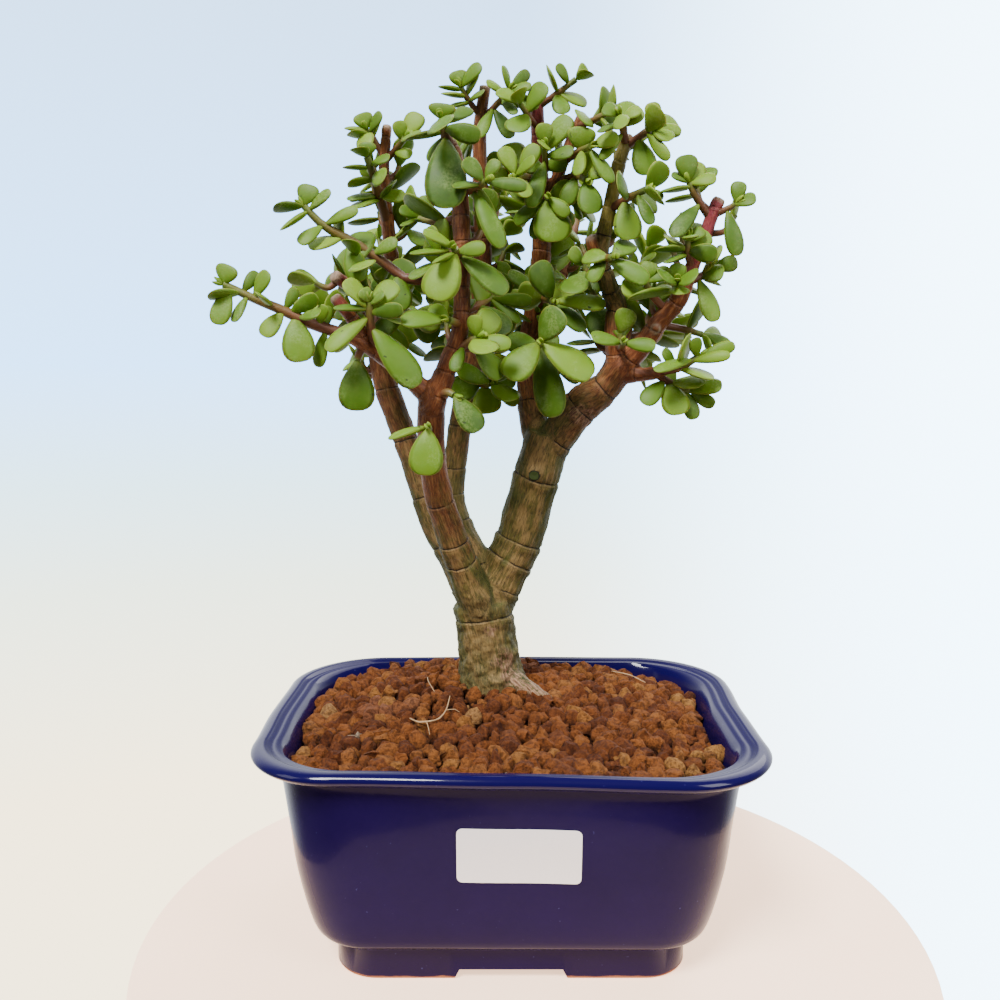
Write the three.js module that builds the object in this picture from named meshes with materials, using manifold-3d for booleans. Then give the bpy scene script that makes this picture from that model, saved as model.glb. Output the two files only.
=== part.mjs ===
// A dwarf jade (Portulacaria afra) grown as a small bonsai, in its glazed oval-cornered pot.
// Millimetres, +Z up. The model is drawn about the pot's own centre line, with Z = 0 under its feet,
// and moved at the end so that the origin lies under the middle of the whole thing.
import * as THREE from 'three';
import Module from 'manifold-3d';
import { mergeVertices } from 'three/addons/utils/BufferGeometryUtils.js';

// ---- Pot ----------------------------------------------------------------------------------------
const RIM_Z = 67; // height of the pot
const FLOOR_TOP = 12; // inner floor
const FLOOR_UNDER = 5; // underside of the floor, inside the foot ring
const CORNER_STEPS = 5; // spans in each rounded corner of the plan
const LONG_STEPS = 5; // spans along the front and back
const SHORT_STEPS = 4; // spans along each end
// How far each side swings out at its start, its middle and its end, going round anticlockwise from
// the left of the front. The pot is pressed and trimmed by hand, so no two sides agree.
const SWING = { front: [-1.8, 0, 2.6], right: [-0.6, -0.3, 1.2], back: [4, 5, 4], left: [1, 1.3, 0.2] };
// [z, half length, half width, corner radius, share of the swing]: up the outside, over the lip and
// down the inside
const POT_OUTSIDE = [
  [9.6, 53.2, 41.4, 13, 0],
  [10.4, 56.6, 43, 15.5, 0.1],
  [14, 60, 45.4, 18.5, 0.25],
  [30, 64.2, 48.5, 22, 0.6],
  [46, 66.2, 50.5, 24, 0.9],
  [62.6, 69, 52, 25, 1],
];
const POT_LIP = [
  [63.3, 74.6, 54.2, 27, 1],
  [65, 76.4, 55.6, 28, 1],
  [66.5, 75.4, 54.8, 27.5, 1],
  [RIM_Z, 73.6, 53.4, 27, 1],
  [66.2, 71.4, 51, 25.5, 1],
];
const POT_INSIDE = [
  [61, 65.4, 48, 23, 1],
  [20, 57.4, 42, 18, 0.4],
  [FLOOR_TOP, 51, 37, 14, 0.2],
];
const FOOT_RING = { halfX: 52.2, halfY: 41, corner: 13, width: 6, bevel: 0.6, top: 9.2 };
const NOTCH = { height: 3, longHalf: 15, shortHalf: 11, slope: 2 }; // the arches between the four feet
const DRAIN = { x: 28, radius: 6, sides: 16 };
const GAP = 0.3; // clearance between neighbouring pieces
const CUTTER = 200; // length of a cutting tool, which reaches out past both sides of the pot

// ---- Drain mesh and label -----------------------------------------------------------------------
const MESH = { size: 19, thick: 0.8, holes: 2, bar: 2.4 };
const LABEL = { x: 2, z: 42.5, width: 34.5, height: 16.5, thick: 0.6, corner: 1.6 };

// ---- Soil ---------------------------------------------------------------------------------------
const GRAIN = 9.6; // spacing of the grains of fired clay
const GRAIN_RISE = 1.5; // how far a grain's crown stands over the surface
const GRAIN_DIP = 1; // and how deep the cracks between grains lie
const GRAIN_STRAY = 0.3; // how far a grain lies off its place in the honeycomb, in grains
const GRAIN_ROWS = 8; // rows each way from the middle
const GRAIN_COLUMNS = 10;
const SOIL_LEVEL = 62.5;
const MOUND = { x: -14, y: 26, height: 6.5, spreadX: 36, spreadY: 28 };
const END_SINK = { depth: 3.5, x: 66 }; // the surface falls by this towards both ends
const SOIL_TOP = [75, 67.2, 49.6, 24, 1]; // a row of the pot's inside, carried on up for the mound

// ---- Wood: every limb as [x, y, z, radius] from its foot to its end ------------------------------
const LIMBS = {
  trunk: [[-5, 22, 44, 9.5], [-5.5, 22, 66, 11.6], [-6.5, 22, 76, 10.4], [-8.4, 22, 89, 10],
    [-9.5, 22, 97, 10.6]],
  right_stem: [[-8, 22, 92, 8], [-4, 24, 103, 8.6], [2.9, 24, 118, 8.2], [7, 22, 133, 7.9],
    [10, 20, 144.5, 7.9], [13, 19, 155, 7.4]],
  far_left_stem: [[-9, 23, 92, 7.2], [-13, 25, 101, 6.8], [-19, 28, 111, 5.6], [-27.5, 32, 126, 4.8],
    [-33, 35, 143, 4.6], [-39, 37, 159, 4.4], [-43.5, 38, 172, 4.2], [-45.5, 38, 184, 3.8],
    [-42.5, 38, 201, 3.2], [-40.5, 36, 217, 2.6]],
  front_stem: [[-10, 18, 96, 6.6], [-14, 14, 107, 5.8], [-18.5, 10, 120.5, 5], [-22.8, 6, 135, 4.6],
    [-24.6, 3, 146, 4.4], [-25.1, 1, 157.5, 4.4], [-24.4, -1, 168.5, 4.3]],
  middle_stem: [[-9, 22, 98, 6.6], [-12, 24, 112, 5.2], [-16.6, 28, 121, 4.8], [-19.6, 30, 131.5, 4.2],
    [-19, 31, 143, 4.1], [-16.4, 30, 161, 4], [-12, 30, 180, 3.7], [-9.7, 28, 200, 3.4],
    [-9, 26, 219, 3], [-9.8, 24, 238, 2.6], [-9.7, 22, 254, 2.3], [-8, 20, 266.5, 1.9]],
  left_branch: [[-23.5, -1, 166, 3.4], [-33.9, -4, 176, 2.8], [-42.5, -8, 182.5, 2.4],
    [-49, -10, 186.3, 2.1]],
  front_branch: [[-24.6, -1, 164, 4], [-19.2, -3, 177.5, 3.2], [-15.4, -5, 188, 2.7],
    [-14.7, -5, 203, 2.5], [-14.9, -5, 220.5, 2.8], [-16.4, -3, 238, 2.3], [-18.2, -3, 244, 1.8]],
  centre_branch: [[11, 21, 146, 5.4], [7.3, 26, 166, 4.6], [6.9, 28, 185, 3.9], [10.2, 28, 206.5, 3.5],
    [10.6, 25, 227, 3], [9.7, 21, 242, 2.6], [8.6, 18, 256.5, 2.3], [8.5, 17, 263, 2.1]],
  right_branch: [[11.5, 19.5, 148, 6.4], [22.7, 15, 164, 6.2], [30.4, 11, 170, 5.2], [36, 8, 178, 4.4]],
  inner_right: [[35, 8.5, 176, 4.1], [33.3, 8, 188.5, 3.5], [33.8, 8, 196.5, 3.3], [31, 6, 202, 3],
    [28.2, 5, 212, 2.6], [31, 4, 227.5, 2.3], [33.2, 3, 238.5, 2.2], [36, 3, 247, 2]],
  outer_right: [[34.5, 8.7, 175.5, 4], [42.6, 4, 185, 3.3], [46.5, 2, 191, 3], [52, 0, 198, 2.8],
    [55.8, -1, 208, 2.2], [58.5, -2, 214.5, 2], [61, -3, 223, 2.1], [63, -3, 227, 2.1]],
  top_right: [[10.4, 26, 218, 2.4], [12.4, 20, 230, 2.2], [16, 17, 239.5, 2], [19.6, 15, 249, 1.8],
    [23, 14, 256.5, 1.6]],
  low_right_twig: [[34, 9, 174, 2.8], [43.4, 4, 174.7, 2.2], [48, 1, 175.6, 1.8]],
  crown_stub: [[-40.7, 36.4, 214, 2.6], [-41.8, 30, 236, 2], [-41.7, 28, 244, 1.9],
    [-40.3, 26, 256, 1.7]],
  upper_stub: [[-45.3, 38, 185, 3], [-44.6, 14, 197.5, 2.2], [-47.6, 6, 200, 2], [-54, -2, 204.5, 2]],
  lower_stub: [[-41.5, -7.5, 181.8, 2.2], [-47.7, -10, 191.5, 2], [-52.5, -11, 197.5, 1.9]],
  inner_stub: [[30, 5.5, 206, 2.2], [26.5, 4, 212, 2.1], [24.5, 3, 217, 2]],
  back_left: [[-43.5, 38, 169, 3.4], [-48, 50, 190, 2.6], [-44, 58, 212, 1.8]],
  back_middle: [[-16, 30, 159, 3.6], [-12, 44, 182, 2.9], [-10, 54, 208, 2.3], [-6, 56, 228, 1.8]],
  back_right: [[7, 28, 182, 3.2], [16, 42, 202, 2.5], [22, 48, 222, 1.8]],
  back_outer: [[29, 12, 168.5, 3.6], [38, 28, 186, 2.7], [44, 38, 204, 1.8]],
  root_front: [[-5, 20, 72, 6], [3, 15, 70, 4], [10, 11, 67.5, 2.6], [16, 8, 64.5, 1.6]],
  root_left: [[-8, 23, 70, 6], [-16, 26, 65.5, 3.4], [-20, 28, 61, 2]],
  root_back: [[-4, 25, 70, 6], [2, 33, 66, 3.2], [5, 37, 61, 2]],
};
const STOUT = 5; // limbs at least this thick at the foot get more sides and closer rings
const WOOD_SIDES = { stout: 7, slim: 5 };
const RING_STEP = { stout: 11, slim: 18 }; // the leaf scars ring the wood about this far apart
const RING_SWELL = 0.05;

// ---- Leafy shoots -------------------------------------------------------------------------------
// line: the twig from inside its limb to its tip. pairs: leaf pairs, each turned a quarter from the
// last, from `first` of the way along. size: leaf length at the first pair and at the last. turn: the
// first pair's turn round the twig, in degrees. leaves: single leaves as [place along the twig, tip,
// width, and how far it is rolled out of the way that single leaves look, in degrees].
const SHOOTS = [
  { name: 'left_long', line: [[-47.5, -10, 185.5], [-59.5, -12, 189.5], [-67, -13, 193],
    [-75.5, -14, 196.5], [-84, -15, 200.5]], pairs: 0, thick: [1.9, 1.1],
    leaves: [[1, [-82, -16, 206], 8], [0.85, [-88, -18.5, 197], 7, 72], [0.95, [-86.5, -19, 189], 7],
    [0.8, [-80.5, -19, 189.5], 4.5, 20], [0.85, [-74.5, -12.5, 204.5], 4, 30],
    [0.75, [-70.5, -17, 204], 6], [0.6, [-72.5, -21.5, 197.5], 4.5], [0.5, [-63.5, -11, 200], 4, 45],
    [0.45, [-56.5, -16, 197], 5, 55], [0.35, [-55.5, -19.5, 192], 5], [0.5, [-72.5, -17, 185.5], 6.5],
    [0.4, [-61.5, -17.5, 178], 10], [0.25, [-64, -20, 183], 4.5, 40], [0.2, [-54.5, -15, 194.5], 4, 20],
    [0.15, [-54.5, -9, 195], 3.5, 20], [0.15, [-57.5, -13, 176.5], 5, 10]] },
  { name: 'left_high', line: [[-15, -5, 206], [-30.5, 2, 203.5], [-38.5, 3, 208.5], [-47, 1, 214],
    [-57, -1, 219.5], [-62.5, -2, 225]], pairs: 1, size: [11, 11], turn: 0, first: 0.68,
    thick: [1.8, 1.1], leaves: [[1, [-60.5, -2, 231.5], 7.5], [0.95, [-54.5, -4.5, 230], 4.5],
    [1, [-71.5, -5, 224], 7, 70], [0.95, [-69, -7, 217.5], 6, 45], [0.8, [-46, -4, 224], 4.5, 20],
    [0.8, [-63.5, -6, 213.5], 5.5], [0.65, [-46, -3.5, 202.5], 7.5], [0.3, [-34, -2, 194], 8.5],
    [0.5, [-34.5, -1.5, 215], 5, 20], [0.45, [-48.5, 7, 209.5], 4.5, 20]] },
  { name: 'crown_a_left', line: [[-41.6, 28, 246], [-44.5, 26, 251], [-46.5, 24, 254]], pairs: 1,
    size: [9, 8], turn: 10, first: 0.6, thick: [1.2, 0.9], leaves: [[0.95, [-54, 23, 254.5], 4.5, 30],
    [1, [-48.5, 23, 259], 7], [0.85, [-42, 20.5, 259], 5], [0.35, [-50, 23.5, 249], 5, 20]] },
  { name: 'crown_a_right', line: [[-41.5, 28.5, 245], [-37, 25, 248.5], [-34, 22, 251]], pairs: 1,
    size: [9, 8], turn: 80, first: 0.95, thick: [1.2, 0.9], leaves: [[0.5, [-31.5, 21, 252], 4.5],
    [0.8, [-36, 20.5, 256], 5], [0.35, [-32, 22, 245.5], 4.5, 20]] },
  { name: 'crown_b', line: [[-41.5, 33, 226], [-43, 26, 233], [-44.5, 21, 239], [-46, 18, 244]],
    pairs: 2, size: [12, 8.5], turn: 0, first: 0.3, thick: [1.8, 1.1],
    leaves: [[0.8, [-54, 17.5, 241], 5, 45], [0.85, [-38.5, 15.5, 243.5], 5],
    [0.65, [-40, 11, 236], 7, 40], [0.6, [-53, 20, 236], 6.5, 68], [0.35, [-53.5, 22, 232], 5, 20],
    [1, [-45.5, 17, 248.5], 6], [0.35, [-34.5, 22, 232.5], 6, 10]] },
  { name: 'crown_c', line: [[-17.5, -3, 242], [-19.8, -5, 245.5], [-20.5, -8, 248.5]], pairs: 0,
    thick: [1.6, 1.2], leaves: [[0.55, [-31, -10, 243], 6, 48], [0.7, [-9, -11, 243], 6, 48],
    [1, [-20, -19, 243.5], 9.5, 30], [1, [-20, -9, 253], 8.5], [0.85, [-11.5, -4, 253], 5.5],
    [0.4, [-19, -13.5, 222.5], 13], [0.4, [-25.5, -1.5, 238.5], 4]] },
  { name: 'crown_d_left', line: [[-9.2, 21, 257], [-13.5, 19, 262], [-15.5, 17, 265]], pairs: 1,
    size: [9, 8.5], turn: 15, first: 0.6, thick: [1.1, 0.8],
    leaves: [[0.9, [-23, 16.5, 265.5], 4.5, 40], [1, [-17, 16, 270], 6.5], [1, [-10, 14, 272], 5.5],
    [0.45, [-8.5, 14, 263], 4.5], [0.4, [-19.5, 15.5, 259], 4.5, 30]] },
  { name: 'crown_d_right', line: [[-9.2, 21, 256], [-4, 18, 260.5], [-0.5, 15, 263.5]], pairs: 1,
    size: [9, 8.5], turn: 30, first: 0.5, thick: [1.1, 0.8], leaves: [[1, [-2, 14, 271], 4, 45],
    [1, [6, 15, 269.5], 4, 40], [0.95, [6.5, 11.5, 264], 4, 20], [0.85, [-7.5, 12, 265.5], 4.5],
    [0.75, [8.5, 12.5, 257.5], 5, 20], [0.65, [1.5, 9, 255], 4], [0.35, [0.5, 16, 249.5], 5.5],
    [0.35, [-10, 13, 249], 4.5]] },
  { name: 'crown_e_right', line: [[8.6, 17.5, 259], [15, 14, 262.5], [20.5, 12, 266]], pairs: 2,
    size: [9.5, 7], turn: 40, first: 0.5, thick: [1.1, 0.9], leaves: [[0.8, [14.5, 10, 270], 4.5],
    [0.45, [16.5, 9, 255], 6]] },
  { name: 'crown_e_left', line: [[8.7, 18, 253], [5.5, 13, 255.5], [3, 10, 258]], pairs: 2,
    size: [10, 8.5], turn: 60, first: 0.55, thick: [1.1, 0.8] },
  { name: 'crown_e_low', line: [[10, 22, 238], [11, 12, 240], [10.5, 5, 244]], pairs: 2, size: [8.5, 7],
    turn: 0, first: 0.4, thick: [1.2, 0.9], leaves: [[0.9, [8.5, 4, 247.5], 8.5],
    [0.65, [1.5, 1.5, 226.5], 6.5], [0.85, [18, 4, 253], 8], [0.75, [19, 2, 242], 5.5, 20]] },
  { name: 'crown_f', line: [[21, 14.6, 252.5], [26, 9, 253], [30, 6, 254.5]], pairs: 3, size: [11, 9],
    turn: 20, first: 0.4, thick: [1.2, 0.9] },
  { name: 'crown_f_low', line: [[17, 16.5, 242], [20.5, 6, 242.5], [24, -2, 242.5]], pairs: 0,
    thick: [1.3, 1], leaves: [[0.6, [22, 3, 249.5], 9], [1, [32, -5, 244.5], 6.5, 10],
    [0.9, [30.5, -4.5, 231.5], 5], [0.7, [20, -3.5, 234], 5, 30]] },
  { name: 'crown_g_right', line: [[35, 3, 243.5], [40, 0, 246.5], [43.5, -1, 248.5]], pairs: 1,
    size: [11, 9.5], turn: 90, first: 0.6, thick: [1.4, 1], leaves: [[0.95, [42, -3, 255], 5.5],
    [0.85, [47.5, -6, 243.5], 6], [1, [51.5, -1, 247], 4, 20], [0.6, [46.5, -7.5, 237.5], 4, 45],
    [0.35, [41, -3, 234], 8]] },
  { name: 'crown_g_left', line: [[35, 3, 244], [33.5, -3, 247.5], [32, -7, 250]], pairs: 1,
    size: [9.5, 8.5], turn: 30, first: 0.55, thick: [1.3, 1], leaves: [[0.8, [38, -7.5, 252], 5.5],
    [1, [27, -7, 252.5], 7], [1, [31.5, -16, 244.5], 5.5, 30], [0.35, [21.5, -6, 238], 6],
    [0.7, [25.5, -9, 245], 4.5, 30]] },
  { name: 'right_h_left', line: [[60.5, -2.8, 221], [55.5, -5, 227], [53, -6, 231]], pairs: 1,
    size: [10, 9], turn: 30, first: 0.65, thick: [1.3, 0.9], leaves: [[1, [51.5, -7, 239], 7.5],
    [0.85, [44, -10, 228], 6, 45], [0.95, [60.5, -9, 232], 5, 10], [0.35, [47.5, -10.5, 215], 6],
    [1, [47, -8, 235], 4.5], [0.45, [63.5, -3, 228.5], 5, 20]] },
  { name: 'right_h_right', line: [[60.8, -3, 222], [65.5, -5, 224], [67, -6, 225]], pairs: 0,
    thick: [1.1, 0.8], leaves: [[0.8, [72.5, -8.5, 226.5], 6], [0.4, [67.5, -8.5, 209.5], 6],
    [1, [69, -6, 231.5], 5]] },
  { name: 'right_h_mid', line: [[55.5, -1, 207], [53, -5.5, 211], [53, -7, 214.5]], pairs: 1,
    size: [11, 8.5], turn: 0, first: 0.6, thick: [1.3, 0.9],
    leaves: [[0.6, [42.5, -10, 211.5], 5.5, 60], [0.55, [61, -10.5, 209.5], 6, 50],
    [1, [51, -15, 215.5], 6, 30], [0.9, [57.5, -7.5, 217.5], 5],
    [0.4, [45.5, -10.5, 207.5], 4.5, 40]] },
  { name: 'right_h_oval', line: [[51, 0.4, 197], [50, -5, 200.5], [49.5, -9, 202]], pairs: 1,
    size: [8.5, 8.5], turn: 90, first: 0.6, thick: [1.4, 1], leaves: [[0.85, [43.5, -15, 203.5], 7.5],
    [0.9, [54, -15.5, 203], 7.5, 10], [0.4, [34.5, -11, 197.5], 6.5, 68],
    [0.75, [50, -8, 207.5], 5.5]] },
  { name: 'right_h_out', line: [[53.5, -0.5, 202], [59.5, 2, 205], [63, 3, 207.5]], pairs: 1,
    size: [10, 9], turn: 45, first: 0.45, thick: [1.3, 1], leaves: [[0.4, [65, -2.5, 205.5], 8],
    [0.35, [62, -5.5, 190.5], 6.5], [0.95, [70, 1, 209], 5.5, 30]] },
  { name: 'right_low_out', line: [[46, 2.2, 190], [54.5, 3, 188.5], [60, 3, 187]], pairs: 2,
    size: [11, 11], turn: 20, first: 0.55, thick: [1.3, 0.9], leaves: [[0.95, [68.5, 0, 183.5], 5]] },
  { name: 'right_low_in', line: [[41, 5, 183], [45, 16, 192], [48, 23, 198]], pairs: 4,
    size: [14.5, 11], turn: 30, first: 0.3, thick: [1.5, 1] },
  { name: 'right_i', line: [[47, 1.5, 175.5], [53, -1, 177], [58, -2, 180]], pairs: 1, size: [12, 11],
    turn: 30, first: 0.4, thick: [1.5, 1], leaves: [[0.85, [43.5, -8, 176], 5.5, 20],
    [0.95, [56, -5, 185.5], 5], [0.95, [68.5, -5, 183.5], 4.5, 30], [0.75, [66.5, -7.5, 180.5], 4, 20],
    [0.35, [46.5, -3.5, 181.5], 5]] },
  { name: 'right_i_low', line: [[45.5, 2.6, 175], [50.5, 5, 172], [57, 5, 169]], pairs: 1,
    size: [12.5, 11], turn: 60, first: 0.5, thick: [1.4, 1], leaves: [[0.35, [41.5, -0.5, 165.5], 6.5],
    [0.45, [51, -2, 162], 9.5], [0.9, [58, 2, 160.5], 5.5], [1, [64, 1, 165], 4.5, 40],
    [0.95, [66, 0, 171.5], 6.5], [0.65, [49, 7, 178.5], 5]] },
  { name: 'front_pair', line: [[34.2, 8.2, 183], [34.5, 1, 183.5], [34.5, -4, 184.5]], pairs: 0,
    thick: [1.4, 1.1], leaves: [[0.8, [24.5, -7, 186], 7, 10], [0.8, [44, -6.5, 183], 5, 20]] },
  { name: 'front_three', line: [[7, 28, 182], [9, 10, 184], [9, -2, 184.5]], pairs: 1, size: [11, 9.5],
    turn: 0, first: 0.35, thick: [1.9, 1.2], leaves: [[0.95, [15, -5.5, 194], 10.5],
    [0.95, [-1, -6.5, 173.5], 11], [0.95, [25, -5.5, 174], 11.5], [0.65, [14, 2.5, 161], 10.5],
    [0.6, [-1.5, 7, 185], 9], [0.5, [22, 12, 171], 7]] },
  { name: 'front_mid', line: [[9.5, 28, 201], [11.5, 14, 199], [13.5, 6, 197.5]], pairs: 1,
    size: [11, 9], turn: 0, first: 0.4, thick: [1.6, 1.1], leaves: [[0.9, [8, 2.5, 209], 10],
    [0.35, [-0.5, 13, 207.5], 6], [1, [30, 3.5, 198], 7], [0.7, [23.5, 5, 188.5], 6.5]] },
  { name: 'front_drop', line: [[10.6, 25, 229], [12, 12, 229.5], [11.5, 4, 229]], pairs: 1,
    size: [11, 9.5], turn: 30, first: 0.35, thick: [1.4, 1.1], leaves: [[0.9, [13.5, 1, 215], 12.5],
    [0.95, [18.5, 1.5, 223.5], 5, 30], [0.6, [1, 12, 222.5], 6.5], [0.65, [0.5, 12, 214.5], 7.5]] },
  { name: 'front_left_up', line: [[10.2, 23, 234], [6, 11, 236], [1.5, 2, 234.5]], pairs: 1,
    size: [12, 11], turn: 60, first: 0.35, thick: [1.3, 1], leaves: [[1, [7, -3, 239], 5.5],
    [1, [-2.5, 2, 243.5], 6], [0.85, [8, 3, 244.5], 6.5], [1, [5, -4, 227.5], 5.5]] },
  { name: 'mid_f', line: [[14.5, 18, 236], [20.5, 8, 236], [23, 0, 233]], pairs: 1, size: [11, 10],
    turn: 50, first: 0.35, thick: [1.3, 1], leaves: [[0.95, [28.5, -1, 236.5], 5.5, 10],
    [0.95, [24.5, -4.5, 222.5], 8], [0.5, [17, 6, 227], 6]] },
  { name: 'mid_g_right', line: [[30.6, 4.2, 225], [35.5, -2, 227.5], [40, -6, 229]], pairs: 2,
    size: [10, 9.5], turn: 10, first: 0.5, thick: [1.4, 1], leaves: [[0.4, [35.5, -6, 214.5], 9],
    [0.75, [41.5, -10, 218.5], 4.5], [1, [46.5, -9, 226.5], 4.5, 20]] },
  { name: 'mid_g_low', line: [[28.3, 5, 211], [29.5, -3, 209.5], [30.5, -6, 209.5]], pairs: 0,
    thick: [1.4, 1.1], leaves: [[0.4, [41, -9, 202], 6.5, 20], [0.35, [24, -4, 202.5], 5],
    [0.6, [22, 0, 210.5], 7.5], [0.95, [37, -2.5, 214.5], 7.5]] },
  { name: 'mid_h_left', line: [[48.5, 1.3, 194], [43, -2, 199], [41, -3, 203]], pairs: 1,
    size: [11, 9.5], turn: 0, first: 0.5, thick: [1.3, 1], leaves: [[1, [42.5, -3, 208.5], 6.5],
    [0.9, [48, -5, 206.5], 6], [0.9, [35.5, 0, 209], 4.5, 20]] },
  { name: 'u_high', line: [[-15.5, -4.5, 228], [-10, -10, 229], [-7.5, -13, 230]], pairs: 0,
    thick: [1.4, 1], leaves: [[0.9, [-13.5, -14.5, 236], 6.5], [0.7, [-17, -14.5, 228.5], 5, 20],
    [0.95, [4.5, -18, 227.5], 4.5, 30], [0.35, [-2.5, -15.5, 211], 6.5], [1, [-4, -14, 236], 4.5],
    [0.6, [-8, -6, 216.5], 6.5]] },
  { name: 'u_mid', line: [[-14.8, -5, 209], [-16, -10, 210], [-16.5, -12.5, 211]], pairs: 0,
    thick: [1.5, 1.1], leaves: [[1, [-25.5, -15.5, 216], 5, 10], [0.65, [-7.5, -15, 211], 5, 30],
    [0.7, [-22.5, -17, 196], 12], [0.35, [-1, -11.5, 198.5], 8.5], [0.5, [-22.5, -19, 206.5], 4, 40]] },
  { name: 'u_left', line: [[-15, -5, 221], [-22, 3, 221], [-28.5, 8, 223]], pairs: 2, size: [14.5, 12],
    turn: 30, first: 0.3, thick: [1.5, 1], leaves: [[0.55, [-24, 5.5, 209], 7.5],
    [0.95, [-34, 4.5, 220.5], 6, 35], [0.8, [-26.5, 6, 230], 5.5], [1, [-34.5, 6, 226], 5]] },
  { name: 'u_right', line: [[-15, -5, 193], [-10, 3, 196], [-6, 9, 199]], pairs: 1, size: [15.5, 13],
    turn: 60, first: 0.5, thick: [1.5, 1], leaves: [[0.5, [-1, -3, 187], 9],
    [0.95, [7, 6.5, 197.5], 5, 55], [0.9, [3.5, 10, 191.5], 5]] },
  { name: 'u_low', line: [[-18, -3.6, 180.5], [-13, -7, 184], [-10, -9, 185.5]], pairs: 1,
    size: [12, 11], turn: 80, first: 0.75, thick: [1.5, 1.1], leaves: [[0.5, [0, -12, 183.5], 6, 20],
    [0.35, [-21, -12, 175], 5.5], [0.95, [-11, -11, 192], 5]] },
  { name: 'u_side', line: [[-14.8, -4.8, 189], [-16.8, -8.5, 190], [-18.5, -11, 190.5]], pairs: 0,
    thick: [1.4, 1.1], leaves: [[1, [-32.5, -15, 190.5], 7.5], [1, [-24, -9, 195.5], 5.5]] },
  { name: 'fork_right', line: [[-24, -1, 168], [-19.5, -5.4, 169], [-17.4, -6.6, 168.2]], pairs: 0,
    thick: [1.5, 1.2], leaves: [[0.95, [-9.5, -10.5, 157.5], 8.5]] },
  { name: 'middle_low', line: [[-13, 30, 175], [-9, 21, 171.5], [-6, 14, 172]], pairs: 2,
    size: [13, 12], turn: 0, first: 0.4, thick: [1.6, 1.1], leaves: [[0.55, [-7, 15, 162], 10],
    [1, [-17, 6.5, 176.5], 8.5], [1, [2.5, 11.5, 165], 5, 30]] },
  { name: 'front_stem_pair', line: [[-25.3, 1, 157], [-25.2, -5, 158], [-25.2, -7.5, 158.6]], pairs: 0,
    thick: [1.3, 1.1], leaves: [[1, [-26, -11.5, 144], 11], [1, [-37.5, -9.5, 155.5], 4.5, 30]] },
  { name: 'left_rosette', line: [[-41, -7.3, 181.5], [-41.8, -12, 190], [-41.5, -14, 195.5]], pairs: 1,
    size: [11, 9.5], turn: 0, first: 0.8, thick: [1.7, 1.1], leaves: [[0.6, [-54, -18.5, 181.5], 6.5],
    [0.8, [-52, -15.5, 195], 4.5, 30], [0.9, [-37, -16.5, 198], 4], [0.7, [-31.5, -18, 193], 5, 50],
    [1, [-43.5, -16, 199], 5], [0.4, [-27.5, -14, 171], 10]] },
  { name: 'left_drop', line: [[-44.5, -8.8, 183.5], [-46, -8, 180], [-46.5, -8, 178.8]], pairs: 0,
    thick: [1.3, 1.1], leaves: [[0.85, [-46.5, -11, 163.5], 11.5]] },
  { name: 'left_inner', line: [[-43, 38, 199], [-37, 24, 198], [-32, 12, 194]], pairs: 2,
    size: [14.5, 12], turn: 70, first: 0.3, thick: [1.6, 1], leaves: [[1, [-23.5, 9, 186], 8.5, 30],
    [0.6, [-45, 15.5, 204], 9.5], [0.8, [-43, 8.5, 187], 7.5]] },
  { name: 'back_left_top', line: [[-44.5, 57, 209], [-46, 61, 216], [-48, 63, 225]], pairs: 4,
    size: [13, 9.5], turn: 20, first: 0.3, thick: [1.6, 1] },
  { name: 'back_left_side', line: [[-47.8, 49.5, 189], [-57, 54, 194], [-65, 56, 199]], pairs: 4,
    size: [14.5, 11], turn: 45, first: 0.3, thick: [1.6, 1] },
  { name: 'back_middle_top', line: [[-7, 55.5, 225], [-5, 58, 233], [-4, 60, 242]], pairs: 4,
    size: [13, 9.5], turn: 0, first: 0.3, thick: [1.6, 1] },
  { name: 'back_middle_left', line: [[-11.2, 49, 195], [-20, 58, 200], [-27, 64, 207]], pairs: 4,
    size: [15.5, 11], turn: 60, first: 0.3, thick: [1.6, 1] },
  { name: 'back_middle_right', line: [[-11, 50, 198], [-2, 60, 201], [4, 67, 207]], pairs: 4,
    size: [15.5, 11], turn: 30, first: 0.3, thick: [1.6, 1] },
  { name: 'back_right_top', line: [[21.5, 47.5, 220], [24, 51, 229], [25, 53, 238]], pairs: 4,
    size: [13, 9.5], turn: 15, first: 0.3, thick: [1.6, 1] },
  { name: 'back_right_side', line: [[16.5, 42.5, 203], [23, 52, 205], [30, 59, 210]], pairs: 4,
    size: [14.5, 11], turn: 75, first: 0.3, thick: [1.6, 1] },
  { name: 'back_outer_top', line: [[43.6, 37, 202], [46, 40, 211], [48, 41, 219]], pairs: 4,
    size: [13, 9.5], turn: 35, first: 0.3, thick: [1.6, 1] },
  { name: 'back_outer_side', line: [[38.5, 29, 187], [49, 37, 189], [57, 42, 193]], pairs: 4,
    size: [14.5, 11], turn: 10, first: 0.3, thick: [1.6, 1] },
];
const TWIG_SIDES = 3;
const TWIG_CORNER = 1.2; // how far a twig's three corners stand out, in its true radius
const TIP_POINT = 0.8; // a twig's tip stands this share of its thickness past its last ring
const LEVEL = 0.75; // a limb that runs more than this share along X is level
const NARROW = 0.8; // a leaf's width over its length, where no width is given
const OUTLINE = { width: 1.1, base: 0.88, end: 0.4 };
const FLESH = { least: 0.55, share: 0.05 }; // half a leaf's thickness, and how that grows with its length
const THICKEST = 0.6; // where along its length a leaf is thickest
const EDGE_LIFT = 0.05; // how far the edges turn up, for a leaf one wide
const CROWDED = 0.29; // leaves of one shoot may touch up to this share of their length
const PAIR_CURL = -0.1;
const SINGLE_CURL = -0.04;
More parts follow.
